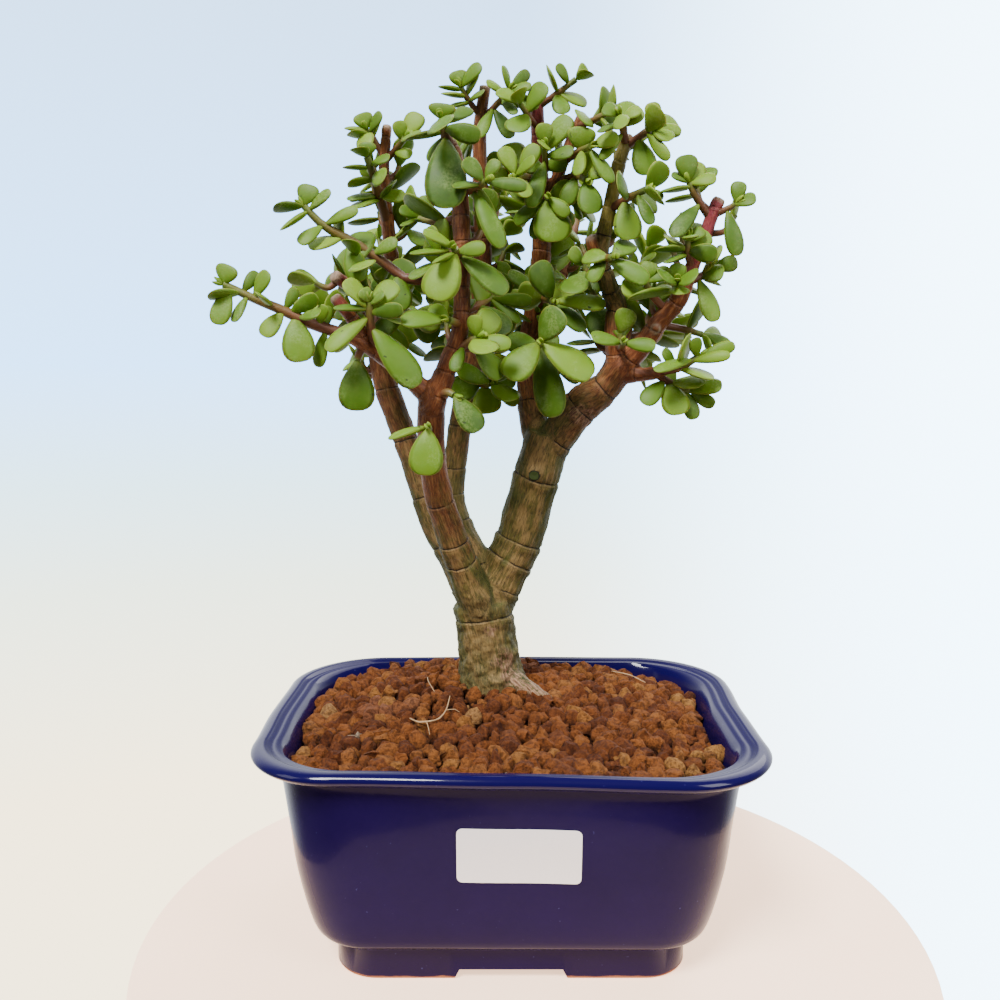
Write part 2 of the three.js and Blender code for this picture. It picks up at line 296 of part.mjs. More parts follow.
// What each paired leaf adds of its own, at random.
const JITTER = { turn: 30, sweep: 16, roll: 0.9, size: 0.2, curl: 0.16 };
const STATIONS = { small: [0.4, 0.84], large: [0.3, 0.66, 0.92] }; // the outline's points, root to tip
const LARGE = 14; // leaves at least this long have the finer outline
const LIGHT = 0.55; // how strongly a leaf turns its face to the light, which falls from above and outside
const CROWN_AXIS = { x: -6, y: 20 };
const LIGHT_SLOPE = 0.8;
const WINDOW = 0.8; // and how far the light leans to the front
const SWEEP_FIRST = 68; // degrees that the lowest leaves stand away from the twig
const SWEEP_LAST = 42; // and the tip leaves
const FACE = new THREE.Vector3(0, -0.8, 0.6); // which way a singly placed leaf looks
const ESCAPES = [[0, 0, 1], [14, 0, 1], [-14, 0, 1], [0, 14, 1], [0, -14, 1], [26, 8, 0.94], [-26, 8, 0.94],
  [16, -16, 0.9], [-16, -16, 0.9], [34, 0, 0.82], [-34, 0, 0.82], [0, 26, 0.8], [0, -26, 0.8], [20, 20, 0.7],
  [-20, 20, 0.7], [0, 0, 0.62]]; // [turn, sweep, size] tried in order until a leaf is clear of the rest

const ORIGIN = { x: -5.15, y: 9.7 }; // the middle of the whole thing, seen from the pot's centre line

const wasm = await Module();
wasm.setup();

// ---- Solids -------------------------------------------------------------------------------------

// A repeatable number from 0 to 1 for two counters.
function draw(i, j) {
  const s = Math.sin(i * 12.9898 + j * 78.233) * 43758.5453;
  return s - Math.floor(s);
}

// A closed body from rings of equal count, ended by a point at each side.
function loft(first, rings, last) {
  const count = rings[0].length;
  const points = [first, ...rings.flat(), last];
  const index = [];
  for (let i = 0; i < count; i++) {
    const j = (i + 1) % count;
    index.push(0, 1 + j, 1 + i);
    for (let r = 0; r + 1 < rings.length; r++) {
      const a = 1 + r * count;
      index.push(a + i, a + j, a + count + j, a + i, a + count + j, a + count + i);
    }
    const a = 1 + (rings.length - 1) * count;
    index.push(a + i, a + j, points.length - 1);
  }
  const geometry = new THREE.BufferGeometry().setFromPoints(points);
  geometry.setIndex(index);
  return geometry;
}

function solid(geometry) {
  const bare = new THREE.BufferGeometry();
  bare.setAttribute('position', geometry.getAttribute('position'));
  bare.setIndex(geometry.getIndex());
  const merged = mergeVertices(bare, 1e-4);
  return new wasm.Manifold(new wasm.Mesh({
    numProp: 3,
    vertProperties: new Float32Array(merged.getAttribute('position').array),
    triVerts: new Uint32Array(merged.getIndex().array),
  }));
}

function geometryOf(body) {
  const mesh = body.getMesh();
  const geometry = new THREE.BufferGeometry();
  geometry.setAttribute('position', new THREE.BufferAttribute(new Float32Array(mesh.vertProperties), 3));
  geometry.setIndex(new THREE.BufferAttribute(new Uint32Array(mesh.triVerts), 1));
  return geometry;
}

// The largest of the loose pieces that a cut leaves.
function largest(body) {
  return body.decompose().reduce((a, b) => (a.volume() > b.volume() ? a : b));
}

const vector = ([x, y, z]) => new THREE.Vector3(x, y, z);

// ---- Pot ----------------------------------------------------------------------------------------

// One ring of the pot's plan: a rectangle with round corners whose sides swing a little in and out.
function planRing([z, halfX, halfY, corner, share], grow = 0) {
  const ring = [];
  const sides = [
    { angle: -90, steps: LONG_STEPS, swing: SWING.front },
    { angle: 0, steps: SHORT_STEPS, swing: SWING.right },
    { angle: 90, steps: LONG_STEPS, swing: SWING.back },
    { angle: 180, steps: SHORT_STEPS, swing: SWING.left },
  ];
  sides.forEach((side, k) => {
    const turn = THREE.MathUtils.degToRad(side.angle);
    const out = new THREE.Vector2(Math.cos(turn), Math.sin(turn));
    const along = new THREE.Vector2(-out.y, out.x);
    const reach = k % 2 ? halfX : halfY;
    const run = (k % 2 ? halfY : halfX) - corner;
    for (let i = 0; i < side.steps; i++) {
      const s = i / side.steps;
      const middle = Math.sin(Math.PI * s) ** 2;
      const bulge = share * (side.swing[1] * middle + side.swing[s > 0.5 ? 2 : 0] * (1 - middle));
      ring.push(out.clone().multiplyScalar(reach + grow + bulge).addScaledVector(along, (2 * s - 1) * run));
    }
    const from = side.swing[2] * share;
    const to = sides[(k + 1) % 4].swing[0] * share;
    const centre = out.clone().multiplyScalar(reach - corner).addScaledVector(along, run);
    for (let i = 0; i < CORNER_STEPS; i++) {
      const t = i / CORNER_STEPS;
      const arm = out.clone().rotateAround(new THREE.Vector2(), (t * Math.PI) / 2);
      ring.push(centre.clone().addScaledVector(arm, corner + grow + from + (to - from) * t));
    }
  });
  return ring.map((p) => new THREE.Vector3(p.x, p.y, z));
}

const onAxis = (z) => new THREE.Vector3(0, 0, z);

function footRings() {
  const { halfX, halfY, corner, width, bevel, top } = FOOT_RING;
  return [
    [FLOOR_UNDER, halfX - width, halfY - width, corner - width / 2, 0],
    [0, halfX - width, halfY - width, corner - width / 2, 0],
    [0, halfX - bevel, halfY - bevel, corner, 0],
    [bevel, halfX, halfY, corner, 0],
    [top, halfX, halfY, corner, 0],
  ];
}

// A bar with sloping ends that cuts the arch between two feet, running along X or along Y.
function notchBar(half, turn) {
  const outline = new THREE.Shape([
    new THREE.Vector2(-half - NOTCH.slope, -1),
    new THREE.Vector2(half + NOTCH.slope, -1),
    new THREE.Vector2(half, NOTCH.height),
    new THREE.Vector2(-half, NOTCH.height),
  ]);
  const bar = new THREE.ExtrudeGeometry(outline, { depth: CUTTER, bevelEnabled: false });
  bar.translate(0, 0, -CUTTER / 2);
  bar.rotateX(Math.PI / 2);
  bar.rotateZ(turn);
  return solid(indexed(bar));
}

// ExtrudeGeometry and CylinderGeometry with their shared corners joined.
function indexed(geometry) {
  geometry.deleteAttribute('normal');
  geometry.deleteAttribute('uv');
  return mergeVertices(geometry, 1e-4);
}

function makePot() {
  const rings = [...footRings(), ...POT_OUTSIDE, ...POT_LIP, ...POT_INSIDE];
  let pot = solid(loft(onAxis(FLOOR_UNDER), rings.map((row) => planRing(row)), onAxis(FLOOR_TOP)));
  pot = pot.subtract(notchBar(NOTCH.longHalf, 0)).subtract(notchBar(NOTCH.shortHalf, Math.PI / 2));
  for (const side of [-1, 1]) {
    const hole = new THREE.CylinderGeometry(DRAIN.radius, DRAIN.radius, 3 * FLOOR_TOP, DRAIN.sides);
    hole.rotateX(Math.PI / 2);
    hole.translate(side * DRAIN.x, 0, 0);
    pot = pot.subtract(solid(indexed(hole)));
  }
  return pot;
}

function makeLabel() {
  const skin = (grow) => {
    const rings = POT_OUTSIDE.slice(2).map((row) => planRing(row, grow));
    return solid(loft(onAxis(POT_OUTSIDE[2][0]), rings, onAxis(POT_OUTSIDE.at(-1)[0])));
  };
  const { x, z, width, height, corner, thick } = LABEL;
  const card = new THREE.Shape();
  const turns = [[1, -1, -90], [1, 1, 0], [-1, 1, 90], [-1, -1, 180]];
  for (const [sx, sz, start] of turns) {
    const cx = x + sx * (width / 2 - corner);
    const cz = z + sz * (height / 2 - corner);
    const from = THREE.MathUtils.degToRad(start);
    card.absarc(cx, cz, corner, from, from + Math.PI / 2, false);
  }
  const block = new THREE.ExtrudeGeometry(card, { depth: CUTTER, bevelEnabled: false, curveSegments: 2 });
  block.rotateX(Math.PI / 2);
  return skin(GAP + thick).subtract(skin(GAP)).intersect(solid(indexed(block)));
}

function makeDrainMesh(side) {
  const pitch = (MESH.size - MESH.bar) / MESH.holes;
  const bars = [];
  for (let i = 0; i <= MESH.holes; i++) {
    const offset = i * pitch + (MESH.bar - MESH.size) / 2;
    const across = new THREE.BoxGeometry(MESH.size, MESH.bar, MESH.thick);
    across.translate(side * DRAIN.x, offset, FLOOR_TOP + GAP + MESH.thick / 2);
    const along = new THREE.BoxGeometry(MESH.bar, MESH.size, MESH.thick);
    along.translate(side * DRAIN.x + offset, 0, FLOOR_TOP + GAP + MESH.thick / 2);
    bars.push(solid(indexed(across)), solid(indexed(along)));
  }
  return wasm.Manifold.union(bars);
}

// ---- Soil ---------------------------------------------------------------------------------------

function soilHeight(x, y) {
  const dx = (x - MOUND.x) / MOUND.spreadX;
  const dy = (y - MOUND.y) / MOUND.spreadY;
  const ends = Math.min(1, Math.abs(x) / END_SINK.x) ** 3;
  return SOIL_LEVEL + MOUND.height * Math.exp(-(dx * dx + dy * dy) / 2) - END_SINK.depth * ends;
}

// The grains as relief: each cell of a jittered honeycomb rises to a crown over cracks.
function grainRelief() {
  const points = [];
  const index = [];
  const corners = new Map();
  const place = (x, y, lift, i, j) => {
    const px = x + (draw(i, j) - 0.5) * GRAIN_STRAY * GRAIN;
    const py = y + (draw(j + 17, i) - 0.5) * GRAIN_STRAY * GRAIN;
    points.push(new THREE.Vector3(px, py, soilHeight(px, py) + lift * (0.5 + draw(i + 5, j + 9))));
    return points.length - 1;
  };
  const cornerAt = (x, y) => {
    const key = `${Math.round(x * 10)},${Math.round(y * 10)}`;
    if (!corners.has(key)) corners.set(key, place(x, y, -GRAIN_DIP, Math.round(x * 3), Math.round(y * 3)));
    return corners.get(key);
  };
  const rowStep = (GRAIN * Math.sqrt(3)) / 2;
  for (let j = -GRAIN_ROWS; j <= GRAIN_ROWS; j++) {
    for (let i = -GRAIN_COLUMNS; i <= GRAIN_COLUMNS; i++) {
      const x = (i + (Math.abs(j) % 2) / 2) * GRAIN;
      const y = j * rowStep;
      const crown = place(x, y, GRAIN_RISE, i, j);
      const ring = [...Array(6).keys()].map((k) => {
        const angle = ((k + 0.5) * Math.PI) / 3;
        const reach = GRAIN / Math.sqrt(3);
        return cornerAt(x + reach * Math.cos(angle), y + reach * Math.sin(angle));
      });
      ring.forEach((corner, k) => index.push(crown, corner, ring[(k + 1) % 6]));
    }
  }
  return closedBelow(points, index);
}

// Closes a sheet with a flat copy of itself underneath and a wall round its edge.
function closedBelow(points, index) {
  const count = points.length;
  const all = [...points, ...points.map((p) => new THREE.Vector3(p.x, p.y, 0))];
  const faces = [...index];
  const open = new Map();
  for (let t = 0; t < index.length; t += 3) {
    faces.push(index[t] + count, index[t + 2] + count, index[t + 1] + count);
    for (let k = 0; k < 3; k++) {
      const a = index[t + k];
      const b = index[t + ((k + 1) % 3)];
      if (open.has(`${b},${a}`)) open.delete(`${b},${a}`);
      else open.set(`${a},${b}`, [a, b]);
    }
  }
  for (const [a, b] of open.values()) faces.push(b, a, a + count, b, a + count, b + count);
  const geometry = new THREE.BufferGeometry().setFromPoints(all);
  geometry.setIndex(faces);
  return geometry;
}

// Turns a body inside out.
function flipped(geometry) {
  const index = Array.from(geometry.getIndex().array);
  for (let t = 0; t < index.length; t += 3) [index[t + 1], index[t + 2]] = [index[t + 2], index[t + 1]];
  geometry.setIndex(index);
  return geometry;
}

function makeSoil(clearWood) {
  const walls = [SOIL_TOP, ...POT_INSIDE].map((row) => planRing(row, -GAP));
  walls.at(-1).forEach((p) => p.setZ(FLOOR_TOP + GAP));
  const block = solid(flipped(loft(onAxis(SOIL_TOP[0]), walls, onAxis(FLOOR_TOP + GAP))));
  let soil = block.intersect(solid(grainRelief())).subtract(clearWood);
  for (const side of [-1, 1]) {
    const room = MESH.size + 2 * GAP;
    const box = new THREE.BoxGeometry(room, room, 2 * (MESH.thick + 2 * GAP));
    box.translate(side * DRAIN.x, 0, FLOOR_TOP);
    soil = soil.subtract(solid(indexed(box)));
  }
  return largest(soil);
}

// ---- Wood ---------------------------------------------------------------------------------------

// A ring of points round a place on a curve.
// The side of a whole limb that its rings and leaves are counted from: upwards on a level limb, and
// to the right on one that climbs.
function leadOf(curve) {
  const level = Math.abs(curve.getPoint(1).sub(curve.getPoint(0)).normalize().x) > LEVEL;
  return level ? new THREE.Vector3(0, 0, 1) : new THREE.Vector3(1, 0, 0);
}

// A vector without its part along an axis, one unit long.
const squareTo = (axis, v) => v.clone().addScaledVector(axis, -v.dot(axis)).normalize();

function ringRound(centre, direction, lead, radius, sides) {
  const u = squareTo(direction, lead);
  const v = new THREE.Vector3().crossVectors(direction, u);
  return [...Array(sides).keys()].map((k) => {
    const angle = (k * 2 * Math.PI) / sides;
    const along = radius * Math.cos(angle);
    const across = radius * Math.sin(angle);
    return centre.clone().addScaledVector(u, along).addScaledVector(v, across);
  });
}

const curveThrough = (points) => new THREE.CatmullRomCurve3(points.map(vector), false, 'catmullrom', 0.5);

function heading(curve, t) {
  const ahead = curve.getPoint(Math.min(1, t + 0.01));
  return ahead.sub(curve.getPoint(Math.max(0, t - 0.01))).normalize();
}

// A limb whose thickness follows its table and swells at each leaf scar.
function limbSolid(rows, grow = 0) {
  const curve = curveThrough(rows);
  const stout = rows[0][3] >= STOUT;
  const sides = stout ? WOOD_SIDES.stout : WOOD_SIDES.slim;
  const step = stout ? RING_STEP.stout : RING_STEP.slim;
  const steps = Math.max(rows.length - 1, Math.round(curve.getLength() / step));
  const lead = leadOf(curve);
  const rings = [];
  for (let i = 0; i <= steps; i++) {
    const t = i / steps;
    const k = Math.min(rows.length - 2, Math.floor(t * (rows.length - 1)));
    const radius = THREE.MathUtils.lerp(rows[k][3], rows[k + 1][3], t * (rows.length - 1) - k);
    const swell = 1 + (i % 2 ? -RING_SWELL : RING_SWELL);
    const round = 1 / Math.sqrt(Math.cos(Math.PI / sides));
    rings.push(ringRound(curve.getPoint(t), heading(curve, t), lead, radius * swell * round + grow, sides));
  }
  const first = curve.getPoint(0).addScaledVector(heading(curve, 0), -grow);
  const last = curve.getPoint(1).addScaledVector(heading(curve, 1), grow);
  return solid(loft(first, rings, last));
}

// ---- Leaves and shoots --------------------------------------------------------------------------

// Half the width at a place along the leaf, for a leaf one wide: narrow at the root, and fullest near
// the broad end.
const halfWidth = (t) => OUTLINE.width * t ** OUTLINE.base * (1 - t) ** OUTLINE.end;

// A leaf: obovate, thick in the middle, with its root on the twig's line. `grow` makes it fatter all
// round, and `from` leaves out the part nearest the twig.
function leafSolid({ root, along, face, length, width, curl }, grow = 0, from = 0) {
  const stations = (length < LARGE ? STATIONS.small : STATIONS.large).filter((t) => t > from);
  const side = new THREE.Vector3().crossVectors(face, along);
  const thick = FLESH.least + FLESH.share * length + grow;
  const at = (t, across, up) => root.clone()
    .addScaledVector(along, t * length)
    .addScaledVector(side, across)
    .addScaledVector(face, up + curl * length * t * t);
  const wide = (t) => halfWidth(t) * width + grow;
  const edge = EDGE_LIFT * width;
  const ring = [
    at(from, 0, 0),
    ...stations.map((t) => at(t, -wide(t), edge)),
    at(1 + grow / length, 0, 0),
    ...stations.reverse().map((t) => at(t, wide(t), edge)),
  ];
  return solid(loft(at(THICKEST, 0, -thick), [ring], at(THICKEST, 0, thick)));
}

// The way to the light from a place in the crown.
function lightAt(place) {
  const out = new THREE.Vector3(place.x - CROWN_AXIS.x, place.y - CROWN_AXIS.y, 0).normalize();
  return new THREE.Vector3(out.x, out.y - WINDOW, LIGHT_SLOPE).normalize();
}

// The leaf of a shoot, before it is bent clear of its neighbours by the turn, sweep and size of an
// escape.
function pairLeaf(shoot, curve, index, pair, half, [turn, sweep, scale]) {
  const last = Math.max(1, shoot.pairs - 1);
  const t = THREE.MathUtils.lerp(shoot.first, 1, pair / last);
  const place = shoot.pairs === 1 ? shoot.first : t;
  const axis = heading(curve, place);
  const out = squareTo(axis, leadOf(curve));
  const jitter = (draw(index * 7 + pair, half) - 0.5) * JITTER.turn;
  out.applyAxisAngle(axis, THREE.MathUtils.degToRad(shoot.turn + 90 * pair + 180 * half + jitter + turn));
  const lean = THREE.MathUtils.lerp(SWEEP_FIRST, SWEEP_LAST, shoot.pairs === 1 ? 1 : pair / last);
  const angle = THREE.MathUtils.degToRad(lean + sweep + (draw(index, pair * 2 + half) - 0.5) * JITTER.sweep);
  const along = axis.clone().multiplyScalar(Math.cos(angle)).addScaledVector(out, Math.sin(angle));
  const root = curve.getPoint(place);
  const facing = squareTo(along, axis).multiplyScalar(1 - LIGHT).addScaledVector(lightAt(root), LIGHT);
  const face = squareTo(along, facing);
  face.applyAxisAngle(along, (draw(index + 3, pair * 2 + half) - 0.5) * JITTER.roll);
  const size = THREE.MathUtils.lerp(shoot.size[0], shoot.size[1], shoot.pairs === 1 ? 0 : pair / last);
  const length = size * scale * (1 + (draw(index + 11, pair * 2 + half) - 0.5) * JITTER.size);
  return {
    root,
    along,
    face,
    length,
    width: length * NARROW,
    curl: PAIR_CURL + JITTER.curl * draw(index + 23, pair * 2 + half),
  };
}

function singleLeaf(curve, [t, tip, width, roll = 0], [turn, sweep, scale]) {
  const root = curve.getPoint(t);
  const along = vector(tip).sub(root);
  const length = along.length() * scale;
  along.normalize();
  const first = squareTo(along, FACE);
  const side = new THREE.Vector3().crossVectors(first, along);
  along.applyAxisAngle(first, THREE.MathUtils.degToRad(turn / 2));
  along.applyAxisAngle(side, THREE.MathUtils.degToRad(sweep / 2));
  const face = squareTo(along, first).applyAxisAngle(along, THREE.MathUtils.degToRad(roll));
  return { root, along, face, length, width: width * scale, curl: SINGLE_CURL };
}

function makeTwig(shoot) {
  const curve = curveThrough(shoot.line);
  const lead = leadOf(curve);
  const rings = [];
  const steps = shoot.line.length - 1;
  for (let i = 0; i <= steps; i++) {
    const t = i / steps;
    const radius = THREE.MathUtils.lerp(shoot.thick[0], shoot.thick[1], t);
    rings.push(ringRound(curve.getPoint(t), heading(curve, t), lead, radius * TWIG_CORNER, TWIG_SIDES));
  }
  const tip = curve.getPoint(1).addScaledVector(heading(curve, 1), shoot.thick[1] * TIP_POINT);
  return solid(loft(curve.getPoint(0), rings, tip));
}

function boxOf(body) {
  const { min, max } = body.boundingBox();
  return new THREE.Box3(new THREE.Vector3(...min), new THREE.Vector3(...max));
}

// Whatever stands in the crown already: each entry is a body with its box and its shoot's number.
const crown = [];
const stand = (body, owner) => crown.push({ body, box: boxOf(body), owner });

// Whether a leaf is clear of every other shoot and limb, and its blade of its own shoot's leaves.
function isClear(leaf, owner) {
  const whole = leafSolid(leaf, GAP);
  const blade = leafSolid(leaf, GAP / 2, CROWDED);
  const box = boxOf(whole);
  return crown.every((other) => {
    if (!box.intersectsBox(other.box)) return true;
    const mine = other.owner === owner ? blade : whole;
    return mine.intersect(other.body).isEmpty();
  });
}

// Places every shoot's leaves, the single ones of the whole tree first.
function growShoots(limbs) {
  limbs.forEach((limb) => stand(limb, 'wood'));
  const clearWood = wasm.Manifold.union(limbs);
  const curves = SHOOTS.map((shoot) => curveThrough(shoot.line));
  const shoots = SHOOTS.map((shoot) => [largest(makeTwig(shoot).subtract(clearWood))]);
  shoots.forEach(([twig], index) => stand(twig, index));
  const place = (index, pose) => {
    for (const escape of ESCAPES) {
      const leaf = pose(escape);
      if (!isClear(leaf, index)) continue;
      const body = leafSolid(leaf);
      shoots[index].push(body);
      stand(body, index);
      return;
    }
  };
  SHOOTS.forEach((shoot, index) => {
    for (const row of shoot.leaves ?? []) place(index, (escape) => singleLeaf(curves[index], row, escape));
  });
  SHOOTS.forEach((shoot, index) => {
    for (let pair = shoot.pairs - 1; pair >= 0; pair--) {
      for (const half of [0, 1]) {
        place(index, (escape) => pairLeaf(shoot, curves[index], index, pair, half, escape));
      }
    }
  });
  return shoots.map((pieces) => wasm.Manifold.union(pieces));
}

// ---- Assembly -----------------------------------------------------------------------------------

const GLAZE = new THREE.MeshStandardMaterial({ color: '#1c2478', roughness: 0.15, metalness: 0 });
const CLAY = new THREE.MeshStandardMaterial({ color: '#8a4a2c', roughness: 0.95, metalness: 0 });
const BARK = new THREE.MeshStandardMaterial({ color: '#6f5b3e', roughness: 0.85, metalness: 0 });
const LEAF = new THREE.MeshStandardMaterial({ color: '#5f8f35', roughness: 0.35, metalness: 0 });
const PAPER = new THREE.MeshStandardMaterial({ color: '#f4f4f2', roughness: 0.6, metalness: 0 });
const PLASTIC = new THREE.MeshStandardMaterial({ color: '#22262a', roughness: 0.6, metalness: 0 });

const bonsai = new THREE.Group();

function add(name, body, material) {
  const mesh = new THREE.Mesh(geometryOf(body), material);
  mesh.name = name;
  mesh.position.set(-ORIGIN.x, -ORIGIN.y, 0);
  bonsai.add(mesh);
}

const swollen = Object.values(LIMBS).map((rows) => limbSolid(rows, GAP));
add('pot', makePot(), GLAZE);
add('label', makeLabel(), PAPER);
add('drain_mesh_left', makeDrainMesh(-1), PLASTIC);
add('drain_mesh_right', makeDrainMesh(1), PLASTIC);
add('soil', makeSoil(wasm.Manifold.union(swollen)), CLAY);
add('wood', wasm.Manifold.union(Object.values(LIMBS).map((rows) => limbSolid(rows))), BARK);
growShoots(swollen).forEach((body, index) => add(`spray_${SHOOTS[index].name}`, body, LEAF));

export default bonsai;
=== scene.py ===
# A dwarf jade grown as a small bonsai in a cobalt glazed pot: the finished surfaces round the packed
# solids. Sizes are in millimetres about the pot's own centre line, as the solids were drawn, and
# placed() turns them into the frame's metres.
import math

import bpy
import numpy as np
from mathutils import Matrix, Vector, kdtree, noise


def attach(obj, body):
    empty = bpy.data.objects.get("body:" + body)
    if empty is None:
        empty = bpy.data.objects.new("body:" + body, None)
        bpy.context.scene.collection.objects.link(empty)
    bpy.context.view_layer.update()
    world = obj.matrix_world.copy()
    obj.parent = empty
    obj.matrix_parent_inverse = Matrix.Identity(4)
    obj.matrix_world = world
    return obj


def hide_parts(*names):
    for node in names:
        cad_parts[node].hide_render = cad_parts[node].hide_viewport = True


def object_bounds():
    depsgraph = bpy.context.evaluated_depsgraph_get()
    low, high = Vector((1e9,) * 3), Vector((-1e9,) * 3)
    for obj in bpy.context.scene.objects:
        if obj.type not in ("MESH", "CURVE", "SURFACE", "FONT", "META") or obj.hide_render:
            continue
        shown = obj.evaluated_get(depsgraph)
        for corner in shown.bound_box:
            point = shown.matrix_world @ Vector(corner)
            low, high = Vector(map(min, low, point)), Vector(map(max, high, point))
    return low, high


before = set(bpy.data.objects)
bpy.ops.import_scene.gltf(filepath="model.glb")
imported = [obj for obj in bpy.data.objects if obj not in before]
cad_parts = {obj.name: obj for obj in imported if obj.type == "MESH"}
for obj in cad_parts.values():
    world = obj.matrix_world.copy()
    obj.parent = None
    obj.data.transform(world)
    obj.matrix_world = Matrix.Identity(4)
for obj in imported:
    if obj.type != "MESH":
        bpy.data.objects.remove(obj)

CAD_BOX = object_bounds()
MM = 0.001
MIDDLE = np.array([-5.15, 9.7, 0.0])  # the frame's origin, seen from the pot's centre line

# ---- Pot ----------------------------------------------------------------------------------------
RIM_Z = 67
FLOOR_TOP = 12
FLOOR_UNDER = 5
# how far each side swings out at its start, its middle and its end, anticlockwise from the front's left
SWING = {"front": (-1.8, 0, 2.6), "right": (-0.6, -0.3, 1.2), "back": (4, 5, 4), "left": (1, 1.3, 0.2)}
# (z, half length, half width, corner radius, share of the swing)
POT_OUTSIDE = [(9.6, 53.2, 41.4, 13, 0), (10.4, 56.6, 43, 15.5, 0.1), (14, 60, 45.4, 18.5, 0.25),
               (30, 64.2, 48.5, 22, 0.6), (46, 66.2, 50.5, 24, 0.9), (62.6, 69, 52, 25, 1)]
POT_LIP = [(63.3, 74.6, 54.2, 27, 1), (65, 76.4, 55.6, 28, 1), (66.5, 75.4, 54.8, 27.5, 1),
           (RIM_Z, 73.6, 53.4, 27, 1), (66.2, 71.4, 51, 25.5, 1)]
POT_INSIDE = [(61, 65.4, 48, 23, 1), (20, 57.4, 42, 18, 0.4), (FLOOR_TOP, 51, 37, 14, 0.2)]
# the foot's edges are eased: edge is where the ease starts, edge_middle a point on it
FOOT = dict(half_x=52.2, half_y=41, corner=13, width=6, top=8.9, edge=0.8, edge_middle=0.25,
            inner_edge=0.4)
NOTCH = dict(height=3, long_half=15, short_half=11, slope=2)
DRAIN = dict(x=28, radius=6, sides=40)
CUTTER = dict(reach=90, low=-1, bore_low=-5, bore_high=30)  # how far the cutting shapes run past the pot
PLAN = dict(long=26, short=20, corner=14)  # spans along each side and round each corner
ROW_STEPS = 4  # spans between two rows of the tables above
SKIN = -0.05  # the glaze stays this far inside the solid
LABEL = dict(x=2, z=42.5, width=34.5, height=16.5, corner=1.6, lift=0.12, thick=0.18, columns=30, rows=20)
POT_SHARP = 50  # degrees between two faces from which an edge stays sharp
LABEL_SHARP = 40

# ---- Soil ---------------------------------------------------------------------------------------
SOIL_LEVEL = 62.5
MOUND = dict(x=-14, y=26, height=6.5, spread_x=36, spread_y=28)
END_SINK = 3.5  # how far the soil falls towards the pot's two ends
END_REACH = 66
SOIL_EDGE = (62, 66, 48.4, 23.3, 1)  # the pot's inside at the soil, as a row of the pot's tables
SOIL_PLAN = dict(long=20, short=16, corner=8)
SOIL_SHARES = 16  # rings from the wall to the middle
BED_GAP = 0.8
BED_FLOOR = FLOOR_TOP + 2
BED_DROP = 2.0  # the bed under the loose grains lies this much below the surface
GRAIN_GAP = 3.0  # between the wall and the middle of the nearest grain
GRAINS = dict(spacing=4.3, radius=3.3, seed=4, facets=2, lift=-0.4)
CRUMBS = dict(spacing=2.1, radius=1.1, seed=9, facets=1, lift=-0.9)
GRAIN_SHARP = 50
# (x, y, z) of single grains and clumps with a colour of their own
OCHRE_SPOTS = [(57, -27, 64), (62, -20, 64), (50, -37, 64), (-71, 22, 66), (-66, -8, 64), (60, 22, 63)]
CLUMP_SPOTS = [(-43, 10, 66), (-44, 0, 65), (-36, 6, 66), (-34, 44, 68), (-26, 47, 68), (5, 45, 66)]
PALE_SPOTS = [(43.4, -31.8, 63), (0.1, -41.2, 63), (-49, -16, 63)]
# each thin dry root as (x, y, height over the soil, radius) from end to end
ROOTLETS = [[(-31.4, -11.6, 3.4, 0.3), (-29, -14.6, 3.6, 0.42), (-26.4, -15.4, 3.8, 0.5),
             (-22.5, -14.2, 3.9, 0.45), (-20.3, -8, 3.9, 0.35), (-19.6, 2, 3.6, 0.25)],
            [(-26, -15.2, 3.8, 0.3), (-25, -19, 3.2, 0.2), (-24.6, -21, 2.4, 0.15)],
            [(-20.3, -8, 3.8, 0.3), (-17.6, -6.4, 3.2, 0.2), (-16.2, -6.6, 2.4, 0.15)],
            [(-28.4, 22, 2.2, 0.2), (-27.6, 14, 3.9, 0.25), (-25, 6, 3.6, 0.2)],
            [(38, 42, 2.6, 0.3), (44, 36, 3.6, 0.4), (49, 33, 2.6, 0.25)]]
ROOTLET_GIRTH = 0.65  # share of those radii that the dried roots still have
ROOTLET_SIDES = 6
TRUNK = dict(x=-5.2, y=22, radius=11.2)  # no loose grain lies within it

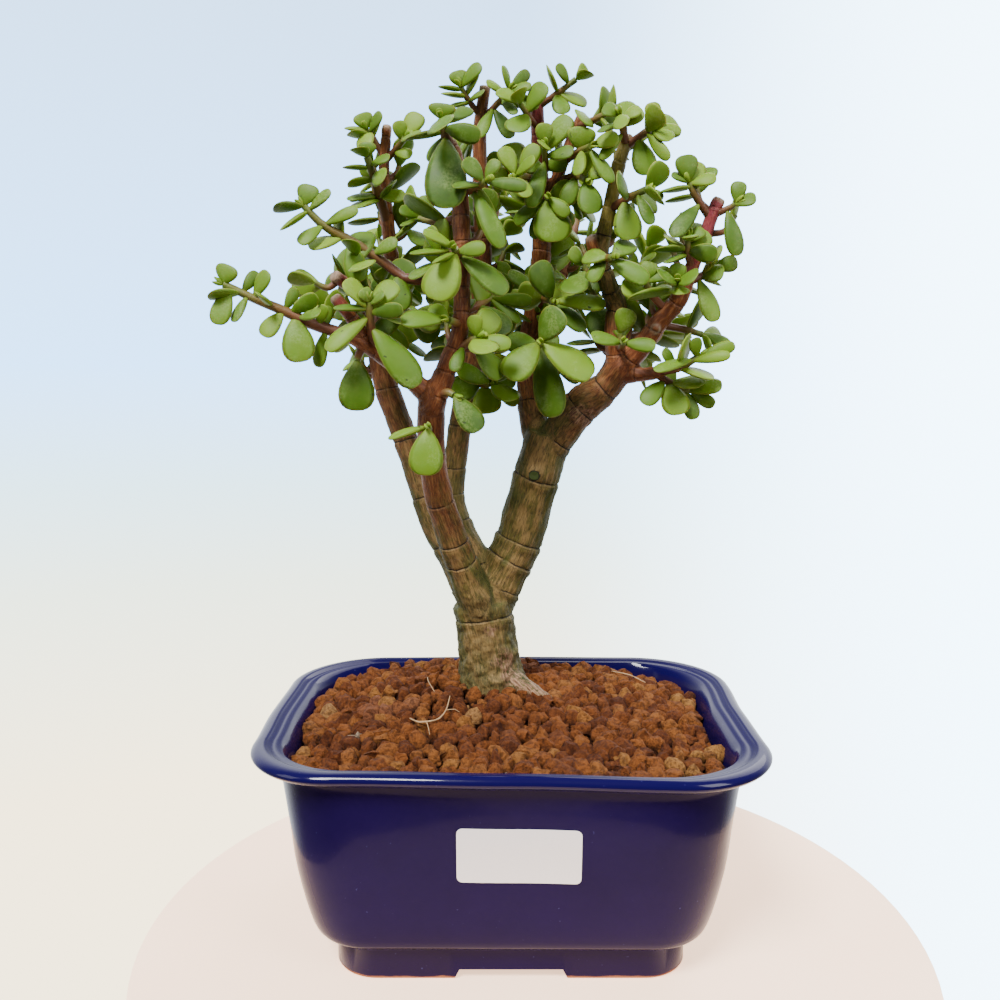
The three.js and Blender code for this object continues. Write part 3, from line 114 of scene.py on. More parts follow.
# ---- Wood: every limb as (x, y, z, radius) from its foot to its end ------------------------------
LIMBS = {
    "trunk": [(-5, 22, 44, 9.5), (-5.5, 22, 66, 11.6), (-6.5, 22, 76, 10.4), (-8.4, 22, 89, 10),
        (-9.5, 22, 97, 10.6)],
    "right_stem": [(-8, 22, 92, 8), (-4, 24, 103, 8.6), (2.9, 24, 118, 8.2), (7, 22, 133, 7.9),
        (10, 20, 144.5, 7.9), (13, 19, 155, 7.4)],
    "far_left_stem": [(-9, 23, 92, 7.2), (-13, 25, 101, 6.8), (-19, 28, 111, 5.6), (-27.5, 32, 126, 4.8),
        (-33, 35, 143, 4.6), (-39, 37, 159, 4.4), (-43.5, 38, 172, 4.2), (-45.5, 38, 184, 3.8),
        (-42.5, 38, 201, 3.2), (-40.5, 36, 217, 2.6)],
    "front_stem": [(-10, 18, 96, 6.6), (-14, 14, 107, 5.8), (-18.5, 10, 120.5, 5), (-22.8, 6, 135, 4.6),
        (-24.6, 3, 146, 4.4), (-25.1, 1, 157.5, 4.4), (-24.4, -1, 168.5, 4.3)],
    "middle_stem": [(-9, 22, 98, 6.6), (-12, 24, 112, 5.2), (-16.6, 28, 121, 4.8),
        (-19.6, 30, 131.5, 4.2), (-19, 31, 143, 4.1), (-16.4, 30, 161, 4), (-12, 30, 180, 3.7),
        (-9.7, 28, 200, 3.4), (-9, 26, 219, 3), (-9.8, 24, 238, 2.6), (-9.7, 22, 254, 2.3),
        (-8, 20, 266.5, 1.9)],
    "left_branch": [(-23.5, -1, 166, 3.4), (-33.9, -4, 176, 2.8), (-42.5, -8, 182.5, 2.4),
        (-49, -10, 186.3, 2.1)],
    "front_branch": [(-24.6, -1, 164, 4), (-19.2, -3, 177.5, 3.2), (-15.4, -5, 188, 2.7),
        (-14.7, -5, 203, 2.5), (-14.9, -5, 220.5, 2.8), (-16.4, -3, 238, 2.3), (-18.2, -3, 244, 1.8)],
    "centre_branch": [(11, 21, 146, 5.4), (7.3, 26, 166, 4.6), (6.9, 28, 185, 3.9),
        (10.2, 28, 206.5, 3.5), (10.6, 25, 227, 3), (9.7, 21, 242, 2.6), (8.6, 18, 256.5, 2.3),
        (8.5, 17, 263, 2.1)],
    "right_branch": [(11.5, 19.5, 148, 6.4), (22.7, 15, 164, 6.2), (30.4, 11, 170, 5.2),
        (36, 8, 178, 4.4)],
    "inner_right": [(35, 8.5, 176, 4.1), (33.3, 8, 188.5, 3.5), (33.8, 8, 196.5, 3.3), (31, 6, 202, 3),
        (28.2, 5, 212, 2.6), (31, 4, 227.5, 2.3), (33.2, 3, 238.5, 2.2), (36, 3, 247, 2)],
    "outer_right": [(34.5, 8.7, 175.5, 4), (42.6, 4, 185, 3.3), (46.5, 2, 191, 3), (52, 0, 198, 2.8),
        (55.8, -1, 208, 2.2), (58.5, -2, 214.5, 2), (61, -3, 223, 2.1), (63, -3, 227, 2.1)],
    "top_right": [(10.4, 26, 218, 2.4), (12.4, 20, 230, 2.2), (16, 17, 239.5, 2), (19.6, 15, 249, 1.8),
        (23, 14, 256.5, 1.6)],
    "low_right_twig": [(34, 9, 174, 2.8), (43.4, 4, 174.7, 2.2), (48, 1, 175.6, 1.8)],
    "crown_stub": [(-40.7, 36.4, 214, 2.6), (-41.8, 30, 236, 2), (-41.7, 28, 244, 1.9),
        (-40.3, 26, 256, 1.7)],
    "upper_stub": [(-45.3, 38, 185, 3), (-44.6, 14, 197.5, 2.2), (-47.6, 6, 200, 2), (-54, -2, 204.5, 2)],
    "lower_stub": [(-41.5, -7.5, 181.8, 2.2), (-47.7, -10, 191.5, 2), (-52.5, -11, 197.5, 1.9)],
    "inner_stub": [(30, 5.5, 206, 2.2), (26.5, 4, 212, 2.1), (24.5, 3, 217, 2)],
    "back_left": [(-43.5, 38, 169, 3.4), (-48, 50, 190, 2.6), (-44, 58, 212, 1.8)],
    "back_middle": [(-16, 30, 159, 3.6), (-12, 44, 182, 2.9), (-10, 54, 208, 2.3), (-6, 56, 228, 1.8)],
    "back_right": [(7, 28, 182, 3.2), (16, 42, 202, 2.5), (22, 48, 222, 1.8)],
    "back_outer": [(29, 12, 168.5, 3.6), (38, 28, 186, 2.7), (44, 38, 204, 1.8)],
    "root_front": [(-5, 20, 72, 6), (3, 15, 70, 4), (10, 11, 67.5, 2.6), (16, 8, 64.5, 1.6)],
    "root_left": [(-8, 23, 70, 6), (-16, 26, 65.5, 3.4), (-20, 28, 61, 2)],
    "root_back": [(-4, 25, 70, 6), (2, 33, 66, 3.2), (5, 37, 61, 2)],
}
# tone of the bark at each limb's foot and end: 0 olive and tan, 1 red-brown, 2 magenta, -1 green
TONES = {
    "trunk": (0, 0), "right_stem": (0, 0.2), "far_left_stem": (0, 0.9), "front_stem": (0.05, 1),
    "middle_stem": (0.05, 1), "left_branch": (1, 1.1), "front_branch": (1, 0.9),
    "centre_branch": (0.3, 1.7), "right_branch": (0.2, 0.6), "inner_right": (1.1, -1.7),
    "outer_right": (0.7, 1.8), "top_right": (0.3, 1.1), "low_right_twig": (0.9, 1.1),
    "crown_stub": (1, 1.2), "upper_stub": (1, 1.5), "lower_stub": (1, 1.5), "inner_stub": (1, 1.3),
    "back_left": (0.8, 0.8), "back_middle": (0.8, 0.9), "back_right": (0.8, 0.8),
    "back_outer": (0.8, 0.9), "root_front": (0, 0), "root_left": (0, 0), "root_back": (0, 0),
}
# limbs that end in a pale pruning cut
PRUNED = ("middle_stem", "centre_branch", "top_right", "outer_right", "inner_right", "crown_stub",
          "upper_stub", "lower_stub", "inner_stub", "front_branch")
# heights of the leaf scars that ring the stout limbs; the others get theirs by rule
RINGS = {
    "trunk": (92.2,),
    "right_stem": (102.4, 111.8, 118.8, 140.6),
    "front_stem": (113.3, 120.4, 134, 150),
    "middle_stem": (110, 123.8, 133.5, 142.9, 158, 176, 196, 220),
    "far_left_stem": (103, 115.8, 132, 152, 170, 190),
}
NO_RING = 1e3  # a place past every limb's end, for a limb without rings
# where the other limbs have rings: the least spacing of stout and thin limbs, and what chance may add
RING_RULE = dict(first=3.0, spread=5, end=2, stout=(9, 13), thin=(6, 8))
STOUT = 5  # a limb is stout from this radius at its foot
LIMB_STEP = 1.5  # between two rings of a limb's tube
LIMB_SIDES = 18
VOXEL = 0.66
GROOVE = dict(depth=0.3, width=0.5)
COLLAR = dict(rise=0.22, below=1.5, width=1.4)  # the swelling under each ring
# how far each kind of unevenness rises on a stout limb
RELIEF = dict(ridges=0.28, lumps=0.5, flakes=0.15, cork=0.4, knobs=1.1)
BASE = dict(top=100, fade=25, bottom=40, rise=10)  # heights between which the trunk's foot turns corky
TONE_ROUNDS = 60
STREAK_SHIFT = 37  # keeps one limb's fibres from repeating on the next
LIMB_REACH = 14  # no point of a limb lies farther than this from its middle line
SHARE_SIZE = 4000  # points worked out at a time
# (x, y, z, reach, rise, corkiness): branch scars and burrs
KNOTS = [(8, 12.3, 141.8, 2.6, 1.5, 0.3), (23.5, 10, 162, 4.6, 1.5, 1), (-9, 10.8, 98, 4.5, 1.0, 0.6),
         (2, 14.5, 95, 3.8, 0.8, 0.6), (20, 12, 156, 3, 0.7, 0.8)]
EYE = (8, 12.3, 141.8, 1.9)  # the green eye of a lost shoot: x, y, z and radius
PALE_RING = (44.8, -0.4, 188.5, 1.3)  # the pale ring left by a cut twig: x, y, z and radius
# (x, y, z, reach) of each patch of pale scaly crust
SCURF = [(-1, 12, 79, 5), (3, 11, 73, 7), (10, 10, 69, 7), (16, 8, 65, 6), (-6, 11, 90, 3),
         (23, 10, 162, 5)]

# ---- Leafy shoots -------------------------------------------------------------------------------
SHOOTS = [
    dict(name="left_long",
         line=[(-47.5, -10, 185.5), (-59.5, -12, 189.5), (-67, -13, 193), (-75.5, -14, 196.5),
               (-84, -15, 200.5)],
         pairs=0, thick=(1.9, 1.1),
         leaves=[(1, (-82, -16, 206), 8), (0.85, (-88, -18.5, 197), 7, 72), (0.95, (-86.5, -19, 189), 7),
                 (0.8, (-80.5, -19, 189.5), 4.5, 20), (0.85, (-74.5, -12.5, 204.5), 4, 30),
                 (0.75, (-70.5, -17, 204), 6), (0.6, (-72.5, -21.5, 197.5), 4.5),
                 (0.5, (-63.5, -11, 200), 4, 45), (0.45, (-56.5, -16, 197), 5, 55),
                 (0.35, (-55.5, -19.5, 192), 5), (0.5, (-72.5, -17, 185.5), 6.5),
                 (0.4, (-61.5, -17.5, 178), 10), (0.25, (-64, -20, 183), 4.5, 40),
                 (0.2, (-54.5, -15, 194.5), 4, 20), (0.15, (-54.5, -9, 195), 3.5, 20),
                 (0.15, (-57.5, -13, 176.5), 5, 10)]),
    dict(name="left_high",
         line=[(-15, -5, 206), (-30.5, 2, 203.5), (-38.5, 3, 208.5), (-47, 1, 214), (-57, -1, 219.5),
               (-62.5, -2, 225)],
         pairs=1, size=(11, 11), turn=0, first=0.68, thick=(1.8, 1.1),
         leaves=[(1, (-60.5, -2, 231.5), 7.5), (0.95, (-54.5, -4.5, 230), 4.5),
                 (1, (-71.5, -5, 224), 7, 70), (0.95, (-69, -7, 217.5), 6, 45),
                 (0.8, (-46, -4, 224), 4.5, 20), (0.8, (-63.5, -6, 213.5), 5.5),
                 (0.65, (-46, -3.5, 202.5), 7.5), (0.3, (-34, -2, 194), 8.5),
                 (0.5, (-34.5, -1.5, 215), 5, 20), (0.45, (-48.5, 7, 209.5), 4.5, 20)]),
    dict(name="crown_a_left", line=[(-41.6, 28, 246), (-44.5, 26, 251), (-46.5, 24, 254)], pairs=1,
         size=(9, 8), turn=10, first=0.6, thick=(1.2, 0.9),
         leaves=[(0.95, (-54, 23, 254.5), 4.5, 30), (1, (-48.5, 23, 259), 7), (0.85, (-42, 20.5, 259), 5),
                 (0.35, (-50, 23.5, 249), 5, 20)]),
    dict(name="crown_a_right", line=[(-41.5, 28.5, 245), (-37, 25, 248.5), (-34, 22, 251)], pairs=1,
         size=(9, 8), turn=80, first=0.95, thick=(1.2, 0.9),
         leaves=[(0.5, (-31.5, 21, 252), 4.5), (0.8, (-36, 20.5, 256), 5),
                 (0.35, (-32, 22, 245.5), 4.5, 20)]),
    dict(name="crown_b", line=[(-41.5, 33, 226), (-43, 26, 233), (-44.5, 21, 239), (-46, 18, 244)],
         pairs=2, size=(12, 8.5), turn=0, first=0.3, thick=(1.8, 1.1),
         leaves=[(0.8, (-54, 17.5, 241), 5, 45), (0.85, (-38.5, 15.5, 243.5), 5),
                 (0.65, (-40, 11, 236), 7, 40), (0.6, (-53, 20, 236), 6.5, 68),
                 (0.35, (-53.5, 22, 232), 5, 20), (1, (-45.5, 17, 248.5), 6),
                 (0.35, (-34.5, 22, 232.5), 6, 10)]),
    dict(name="crown_c", line=[(-17.5, -3, 242), (-19.8, -5, 245.5), (-20.5, -8, 248.5)], pairs=0,
         thick=(1.6, 1.2),
         leaves=[(0.55, (-31, -10, 243), 6, 48), (0.7, (-9, -11, 243), 6, 48),
                 (1, (-20, -19, 243.5), 9.5, 30), (1, (-20, -9, 253), 8.5), (0.85, (-11.5, -4, 253), 5.5),
                 (0.4, (-19, -13.5, 222.5), 13), (0.4, (-25.5, -1.5, 238.5), 4)]),
    dict(name="crown_d_left", line=[(-9.2, 21, 257), (-13.5, 19, 262), (-15.5, 17, 265)], pairs=1,
         size=(9, 8.5), turn=15, first=0.6, thick=(1.1, 0.8),
         leaves=[(0.9, (-23, 16.5, 265.5), 4.5, 40), (1, (-17, 16, 270), 6.5), (1, (-10, 14, 272), 5.5),
                 (0.45, (-8.5, 14, 263), 4.5), (0.4, (-19.5, 15.5, 259), 4.5, 30)]),
    dict(name="crown_d_right", line=[(-9.2, 21, 256), (-4, 18, 260.5), (-0.5, 15, 263.5)], pairs=1,
         size=(9, 8.5), turn=30, first=0.5, thick=(1.1, 0.8),
         leaves=[(1, (-2, 14, 271), 4, 45), (1, (6, 15, 269.5), 4, 40), (0.95, (6.5, 11.5, 264), 4, 20),
                 (0.85, (-7.5, 12, 265.5), 4.5), (0.75, (8.5, 12.5, 257.5), 5, 20),
                 (0.65, (1.5, 9, 255), 4), (0.35, (0.5, 16, 249.5), 5.5), (0.35, (-10, 13, 249), 4.5)]),
    dict(name="crown_e_right", line=[(8.6, 17.5, 259), (15, 14, 262.5), (20.5, 12, 266)], pairs=2,
         size=(9.5, 7), turn=40, first=0.5, thick=(1.1, 0.9),
         leaves=[(0.8, (14.5, 10, 270), 4.5), (0.45, (16.5, 9, 255), 6)]),
    dict(name="crown_e_left", line=[(8.7, 18, 253), (5.5, 13, 255.5), (3, 10, 258)], pairs=2,
         size=(10, 8.5), turn=60, first=0.55, thick=(1.1, 0.8)),
    dict(name="crown_e_low", line=[(10, 22, 238), (11, 12, 240), (10.5, 5, 244)], pairs=2, size=(8.5, 7),
         turn=0, first=0.4, thick=(1.2, 0.9),
         leaves=[(0.9, (8.5, 4, 247.5), 8.5), (0.65, (1.5, 1.5, 226.5), 6.5), (0.85, (18, 4, 253), 8),
                 (0.75, (19, 2, 242), 5.5, 20)]),
    dict(name="crown_f", line=[(21, 14.6, 252.5), (26, 9, 253), (30, 6, 254.5)], pairs=3, size=(11, 9),
         turn=20, first=0.4, thick=(1.2, 0.9)),
    dict(name="crown_f_low", line=[(17, 16.5, 242), (20.5, 6, 242.5), (24, -2, 242.5)], pairs=0,
         thick=(1.3, 1),
         leaves=[(0.6, (22, 3, 249.5), 9), (1, (32, -5, 244.5), 6.5, 10), (0.9, (30.5, -4.5, 231.5), 5),
                 (0.7, (20, -3.5, 234), 5, 30)]),
    dict(name="crown_g_right", line=[(35, 3, 243.5), (40, 0, 246.5), (43.5, -1, 248.5)], pairs=1,
         size=(11, 9.5), turn=90, first=0.6, thick=(1.4, 1),
         leaves=[(0.95, (42, -3, 255), 5.5), (0.85, (47.5, -6, 243.5), 6), (1, (51.5, -1, 247), 4, 20),
                 (0.6, (46.5, -7.5, 237.5), 4, 45), (0.35, (41, -3, 234), 8)]),
    dict(name="crown_g_left", line=[(35, 3, 244), (33.5, -3, 247.5), (32, -7, 250)], pairs=1,
         size=(9.5, 8.5), turn=30, first=0.55, thick=(1.3, 1),
         leaves=[(0.8, (38, -7.5, 252), 5.5), (1, (27, -7, 252.5), 7), (1, (31.5, -16, 244.5), 5.5, 30),
                 (0.35, (21.5, -6, 238), 6), (0.7, (25.5, -9, 245), 4.5, 30)]),
    dict(name="right_h_left", line=[(60.5, -2.8, 221), (55.5, -5, 227), (53, -6, 231)], pairs=1,
         size=(10, 9), turn=30, first=0.65, thick=(1.3, 0.9),
         leaves=[(1, (51.5, -7, 239), 7.5), (0.85, (44, -10, 228), 6, 45), (0.95, (60.5, -9, 232), 5, 10),
                 (0.35, (47.5, -10.5, 215), 6), (1, (47, -8, 235), 4.5),
                 (0.45, (63.5, -3, 228.5), 5, 20)]),
    dict(name="right_h_right", line=[(60.8, -3, 222), (65.5, -5, 224), (67, -6, 225)], pairs=0,
         thick=(1.1, 0.8),
         leaves=[(0.8, (72.5, -8.5, 226.5), 6), (0.4, (67.5, -8.5, 209.5), 6), (1, (69, -6, 231.5), 5)]),
    dict(name="right_h_mid", line=[(55.5, -1, 207), (53, -5.5, 211), (53, -7, 214.5)], pairs=1,
         size=(11, 8.5), turn=0, first=0.6, thick=(1.3, 0.9),
         leaves=[(0.6, (42.5, -10, 211.5), 5.5, 60), (0.55, (61, -10.5, 209.5), 6, 50),
                 (1, (51, -15, 215.5), 6, 30), (0.9, (57.5, -7.5, 217.5), 5),
                 (0.4, (45.5, -10.5, 207.5), 4.5, 40)]),
    dict(name="right_h_oval", line=[(51, 0.4, 197), (50, -5, 200.5), (49.5, -9, 202)], pairs=1,
         size=(8.5, 8.5), turn=90, first=0.6, thick=(1.4, 1),
         leaves=[(0.85, (43.5, -15, 203.5), 7.5), (0.9, (54, -15.5, 203), 7.5, 10),
                 (0.4, (34.5, -11, 197.5), 6.5, 68), (0.75, (50, -8, 207.5), 5.5)]),
    dict(name="right_h_out", line=[(53.5, -0.5, 202), (59.5, 2, 205), (63, 3, 207.5)], pairs=1,
         size=(10, 9), turn=45, first=0.45, thick=(1.3, 1),
         leaves=[(0.4, (65, -2.5, 205.5), 8), (0.35, (62, -5.5, 190.5), 6.5),
                 (0.95, (70, 1, 209), 5.5, 30)]),
    dict(name="right_low_out", line=[(46, 2.2, 190), (54.5, 3, 188.5), (60, 3, 187)], pairs=2,
         size=(11, 11), turn=20, first=0.55, thick=(1.3, 0.9), leaves=[(0.95, (68.5, 0, 183.5), 5)]),
    dict(name="right_low_in", line=[(41, 5, 183), (45, 16, 192), (48, 23, 198)], pairs=4, size=(14.5, 11),
         turn=30, first=0.3, thick=(1.5, 1)),
    dict(name="right_i", line=[(47, 1.5, 175.5), (53, -1, 177), (58, -2, 180)], pairs=1, size=(12, 11),
         turn=30, first=0.4, thick=(1.5, 1),
         leaves=[(0.85, (43.5, -8, 176), 5.5, 20), (0.95, (56, -5, 185.5), 5),
                 (0.95, (68.5, -5, 183.5), 4.5, 30), (0.75, (66.5, -7.5, 180.5), 4, 20),
                 (0.35, (46.5, -3.5, 181.5), 5)]),
    dict(name="right_i_low", line=[(45.5, 2.6, 175), (50.5, 5, 172), (57, 5, 169)], pairs=1,
         size=(12.5, 11), turn=60, first=0.5, thick=(1.4, 1),
         leaves=[(0.35, (41.5, -0.5, 165.5), 6.5), (0.45, (51, -2, 162), 9.5), (0.9, (58, 2, 160.5), 5.5),
                 (1, (64, 1, 165), 4.5, 40), (0.95, (66, 0, 171.5), 6.5), (0.65, (49, 7, 178.5), 5)]),
    dict(name="front_pair", line=[(34.2, 8.2, 183), (34.5, 1, 183.5), (34.5, -4, 184.5)], pairs=0,
         thick=(1.4, 1.1), leaves=[(0.8, (24.5, -7, 186), 7, 10), (0.8, (44, -6.5, 183), 5, 20)]),
    dict(name="front_three", line=[(7, 28, 182), (9, 10, 184), (9, -2, 184.5)], pairs=1, size=(11, 9.5),
         turn=0, first=0.35, thick=(1.9, 1.2),
         leaves=[(0.95, (15, -5.5, 194), 10.5), (0.95, (-1, -6.5, 173.5), 11),
                 (0.95, (25, -5.5, 174), 11.5), (0.65, (14, 2.5, 161), 10.5), (0.6, (-1.5, 7, 185), 9),
                 (0.5, (22, 12, 171), 7)]),
    dict(name="front_mid", line=[(9.5, 28, 201), (11.5, 14, 199), (13.5, 6, 197.5)], pairs=1,
         size=(11, 9), turn=0, first=0.4, thick=(1.6, 1.1),
         leaves=[(0.9, (8, 2.5, 209), 10), (0.35, (-0.5, 13, 207.5), 6), (1, (30, 3.5, 198), 7),
                 (0.7, (23.5, 5, 188.5), 6.5)]),
    dict(name="front_drop", line=[(10.6, 25, 229), (12, 12, 229.5), (11.5, 4, 229)], pairs=1,
         size=(11, 9.5), turn=30, first=0.35, thick=(1.4, 1.1),
         leaves=[(0.9, (13.5, 1, 215), 12.5), (0.95, (18.5, 1.5, 223.5), 5, 30),
                 (0.6, (1, 12, 222.5), 6.5), (0.65, (0.5, 12, 214.5), 7.5)]),
    dict(name="front_left_up", line=[(10.2, 23, 234), (6, 11, 236), (1.5, 2, 234.5)], pairs=1,
         size=(12, 11), turn=60, first=0.35, thick=(1.3, 1),
         leaves=[(1, (7, -3, 239), 5.5), (1, (-2.5, 2, 243.5), 6), (0.85, (8, 3, 244.5), 6.5),
                 (1, (5, -4, 227.5), 5.5)]),
    dict(name="mid_f", line=[(14.5, 18, 236), (20.5, 8, 236), (23, 0, 233)], pairs=1, size=(11, 10),
         turn=50, first=0.35, thick=(1.3, 1),
         leaves=[(0.95, (28.5, -1, 236.5), 5.5, 10), (0.95, (24.5, -4.5, 222.5), 8),
                 (0.5, (17, 6, 227), 6)]),
    dict(name="mid_g_right", line=[(30.6, 4.2, 225), (35.5, -2, 227.5), (40, -6, 229)], pairs=2,
         size=(10, 9.5), turn=10, first=0.5, thick=(1.4, 1),
         leaves=[(0.4, (35.5, -6, 214.5), 9), (0.75, (41.5, -10, 218.5), 4.5),
                 (1, (46.5, -9, 226.5), 4.5, 20)]),
    dict(name="mid_g_low", line=[(28.3, 5, 211), (29.5, -3, 209.5), (30.5, -6, 209.5)], pairs=0,
         thick=(1.4, 1.1),
         leaves=[(0.4, (41, -9, 202), 6.5, 20), (0.35, (24, -4, 202.5), 5), (0.6, (22, 0, 210.5), 7.5),
                 (0.95, (37, -2.5, 214.5), 7.5)]),
    dict(name="mid_h_left", line=[(48.5, 1.3, 194), (43, -2, 199), (41, -3, 203)], pairs=1,
         size=(11, 9.5), turn=0, first=0.5, thick=(1.3, 1),
         leaves=[(1, (42.5, -3, 208.5), 6.5), (0.9, (48, -5, 206.5), 6), (0.9, (35.5, 0, 209), 4.5, 20)]),
    dict(name="u_high", line=[(-15.5, -4.5, 228), (-10, -10, 229), (-7.5, -13, 230)], pairs=0,
         thick=(1.4, 1),
         leaves=[(0.9, (-13.5, -14.5, 236), 6.5), (0.7, (-17, -14.5, 228.5), 5, 20),
                 (0.95, (4.5, -18, 227.5), 4.5, 30), (0.35, (-2.5, -15.5, 211), 6.5),
                 (1, (-4, -14, 236), 4.5), (0.6, (-8, -6, 216.5), 6.5)]),
    dict(name="u_mid", line=[(-14.8, -5, 209), (-16, -10, 210), (-16.5, -12.5, 211)], pairs=0,
         thick=(1.5, 1.1),
         leaves=[(1, (-25.5, -15.5, 216), 5, 10), (0.65, (-7.5, -15, 211), 5, 30),
                 (0.7, (-22.5, -17, 196), 12), (0.35, (-1, -11.5, 198.5), 8.5),
                 (0.5, (-22.5, -19, 206.5), 4, 40)]),
    dict(name="u_left", line=[(-15, -5, 221), (-22, 3, 221), (-28.5, 8, 223)], pairs=2, size=(14.5, 12),
         turn=30, first=0.3, thick=(1.5, 1),
         leaves=[(0.55, (-24, 5.5, 209), 7.5), (0.95, (-34, 4.5, 220.5), 6, 35),
                 (0.8, (-26.5, 6, 230), 5.5), (1, (-34.5, 6, 226), 5)]),
    dict(name="u_right", line=[(-15, -5, 193), (-10, 3, 196), (-6, 9, 199)], pairs=1, size=(15.5, 13),
         turn=60, first=0.5, thick=(1.5, 1),
         leaves=[(0.5, (-1, -3, 187), 9), (0.95, (7, 6.5, 197.5), 5, 55), (0.9, (3.5, 10, 191.5), 5)]),
    dict(name="u_low", line=[(-18, -3.6, 180.5), (-13, -7, 184), (-10, -9, 185.5)], pairs=1,
         size=(12, 11), turn=80, first=0.75, thick=(1.5, 1.1),
         leaves=[(0.5, (0, -12, 183.5), 6, 20), (0.35, (-21, -12, 175), 5.5),
                 (0.95, (-11, -11, 192), 5)]),
    dict(name="u_side", line=[(-14.8, -4.8, 189), (-16.8, -8.5, 190), (-18.5, -11, 190.5)], pairs=0,
         thick=(1.4, 1.1), leaves=[(1, (-32.5, -15, 190.5), 7.5), (1, (-24, -9, 195.5), 5.5)]),
    dict(name="fork_right", line=[(-24, -1, 168), (-19.5, -5.4, 169), (-17.4, -6.6, 168.2)], pairs=0,
         thick=(1.5, 1.2), leaves=[(0.95, (-9.5, -10.5, 157.5), 8.5)]),
    dict(name="middle_low", line=[(-13, 30, 175), (-9, 21, 171.5), (-6, 14, 172)], pairs=2, size=(13, 12),
         turn=0, first=0.4, thick=(1.6, 1.1),
         leaves=[(0.55, (-7, 15, 162), 10), (1, (-17, 6.5, 176.5), 8.5), (1, (2.5, 11.5, 165), 5, 30)]),
    dict(name="front_stem_pair", line=[(-25.3, 1, 157), (-25.2, -5, 158), (-25.2, -7.5, 158.6)], pairs=0,
         thick=(1.3, 1.1), leaves=[(1, (-26, -11.5, 144), 11), (1, (-37.5, -9.5, 155.5), 4.5, 30)]),
    dict(name="left_rosette", line=[(-41, -7.3, 181.5), (-41.8, -12, 190), (-41.5, -14, 195.5)], pairs=1,
         size=(11, 9.5), turn=0, first=0.8, thick=(1.7, 1.1),
         leaves=[(0.6, (-54, -18.5, 181.5), 6.5), (0.8, (-52, -15.5, 195), 4.5, 30),
                 (0.9, (-37, -16.5, 198), 4), (0.7, (-31.5, -18, 193), 5, 50), (1, (-43.5, -16, 199), 5),
                 (0.4, (-27.5, -14, 171), 10)]),
    dict(name="left_drop", line=[(-44.5, -8.8, 183.5), (-46, -8, 180), (-46.5, -8, 178.8)], pairs=0,
         thick=(1.3, 1.1), leaves=[(0.85, (-46.5, -11, 163.5), 11.5)]),
    dict(name="left_inner", line=[(-43, 38, 199), (-37, 24, 198), (-32, 12, 194)], pairs=2,
         size=(14.5, 12), turn=70, first=0.3, thick=(1.6, 1),
         leaves=[(1, (-23.5, 9, 186), 8.5, 30), (0.6, (-45, 15.5, 204), 9.5),
                 (0.8, (-43, 8.5, 187), 7.5)]),
    dict(name="back_left_top", line=[(-44.5, 57, 209), (-46, 61, 216), (-48, 63, 225)], pairs=4,
         size=(13, 9.5), turn=20, first=0.3, thick=(1.6, 1)),
    dict(name="back_left_side", line=[(-47.8, 49.5, 189), (-57, 54, 194), (-65, 56, 199)], pairs=4,
         size=(14.5, 11), turn=45, first=0.3, thick=(1.6, 1)),
    dict(name="back_middle_top", line=[(-7, 55.5, 225), (-5, 58, 233), (-4, 60, 242)], pairs=4,
         size=(13, 9.5), turn=0, first=0.3, thick=(1.6, 1)),
    dict(name="back_middle_left", line=[(-11.2, 49, 195), (-20, 58, 200), (-27, 64, 207)], pairs=4,
         size=(15.5, 11), turn=60, first=0.3, thick=(1.6, 1)),
    dict(name="back_middle_right", line=[(-11, 50, 198), (-2, 60, 201), (4, 67, 207)], pairs=4,
         size=(15.5, 11), turn=30, first=0.3, thick=(1.6, 1)),
    dict(name="back_right_top", line=[(21.5, 47.5, 220), (24, 51, 229), (25, 53, 238)], pairs=4,
         size=(13, 9.5), turn=15, first=0.3, thick=(1.6, 1)),
    dict(name="back_right_side", line=[(16.5, 42.5, 203), (23, 52, 205), (30, 59, 210)], pairs=4,
         size=(14.5, 11), turn=75, first=0.3, thick=(1.6, 1)),
    dict(name="back_outer_top", line=[(43.6, 37, 202), (46, 40, 211), (48, 41, 219)], pairs=4,
         size=(13, 9.5), turn=35, first=0.3, thick=(1.6, 1)),
    dict(name="back_outer_side", line=[(38.5, 29, 187), (49, 37, 189), (57, 42, 193)], pairs=4,
         size=(14.5, 11), turn=10, first=0.3, thick=(1.6, 1)),
]
NARROW = 0.8  # a paired leaf's width over its length
LIGHT = 0.55  # how far a leaf's face turns from its twig to the light
CROWN_AXIS = (-6, 20)
LIGHT_SLOPE = 0.8
WINDOW = 0.8  # how far the light comes from the front
SWEEP = (68, 42)  # degrees between leaf and twig, at the twig's foot and at its tip
SPREAD = dict(turn=30, sweep=16, roll=0.9, length=(0.9, 0.2), curl=(-0.1, 0.16))  # how much leaves differ
FACE = np.array([0, -0.8, 0.6])  # where the upper side of a single leaf looks
# (turn, sweep, size) by which a leaf keeps clear of its neighbours, in the order in which they are tried
ESCAPES = [(0, 0, 1), (14, 0, 1), (-14, 0, 1), (0, 14, 1), (0, -14, 1), (26, 8, 0.94), (-26, 8, 0.94),
           (16, -16, 0.9), (-16, -16, 0.9), (34, 0, 0.82), (-34, 0, 0.82), (0, 26, 0.8), (0, -26, 0.8),
           (20, 20, 0.7), (-20, 20, 0.7), (0, 0, 0.62)]
LEAF_FIT = (0.98, 0.99)  # share of the solid's leaf that the finished one fills, across and along
LEAF_THICK = (0.5, 0.05)  # thickness of a leaf, and what each millimetre of length adds
TIP_LEAF = dict(length=3.4, width=2.0, curl=0.1, young=1.0)
TWIG = dict(points=13, sides=8, knuckle=0.14, knuckle_sharp=9)
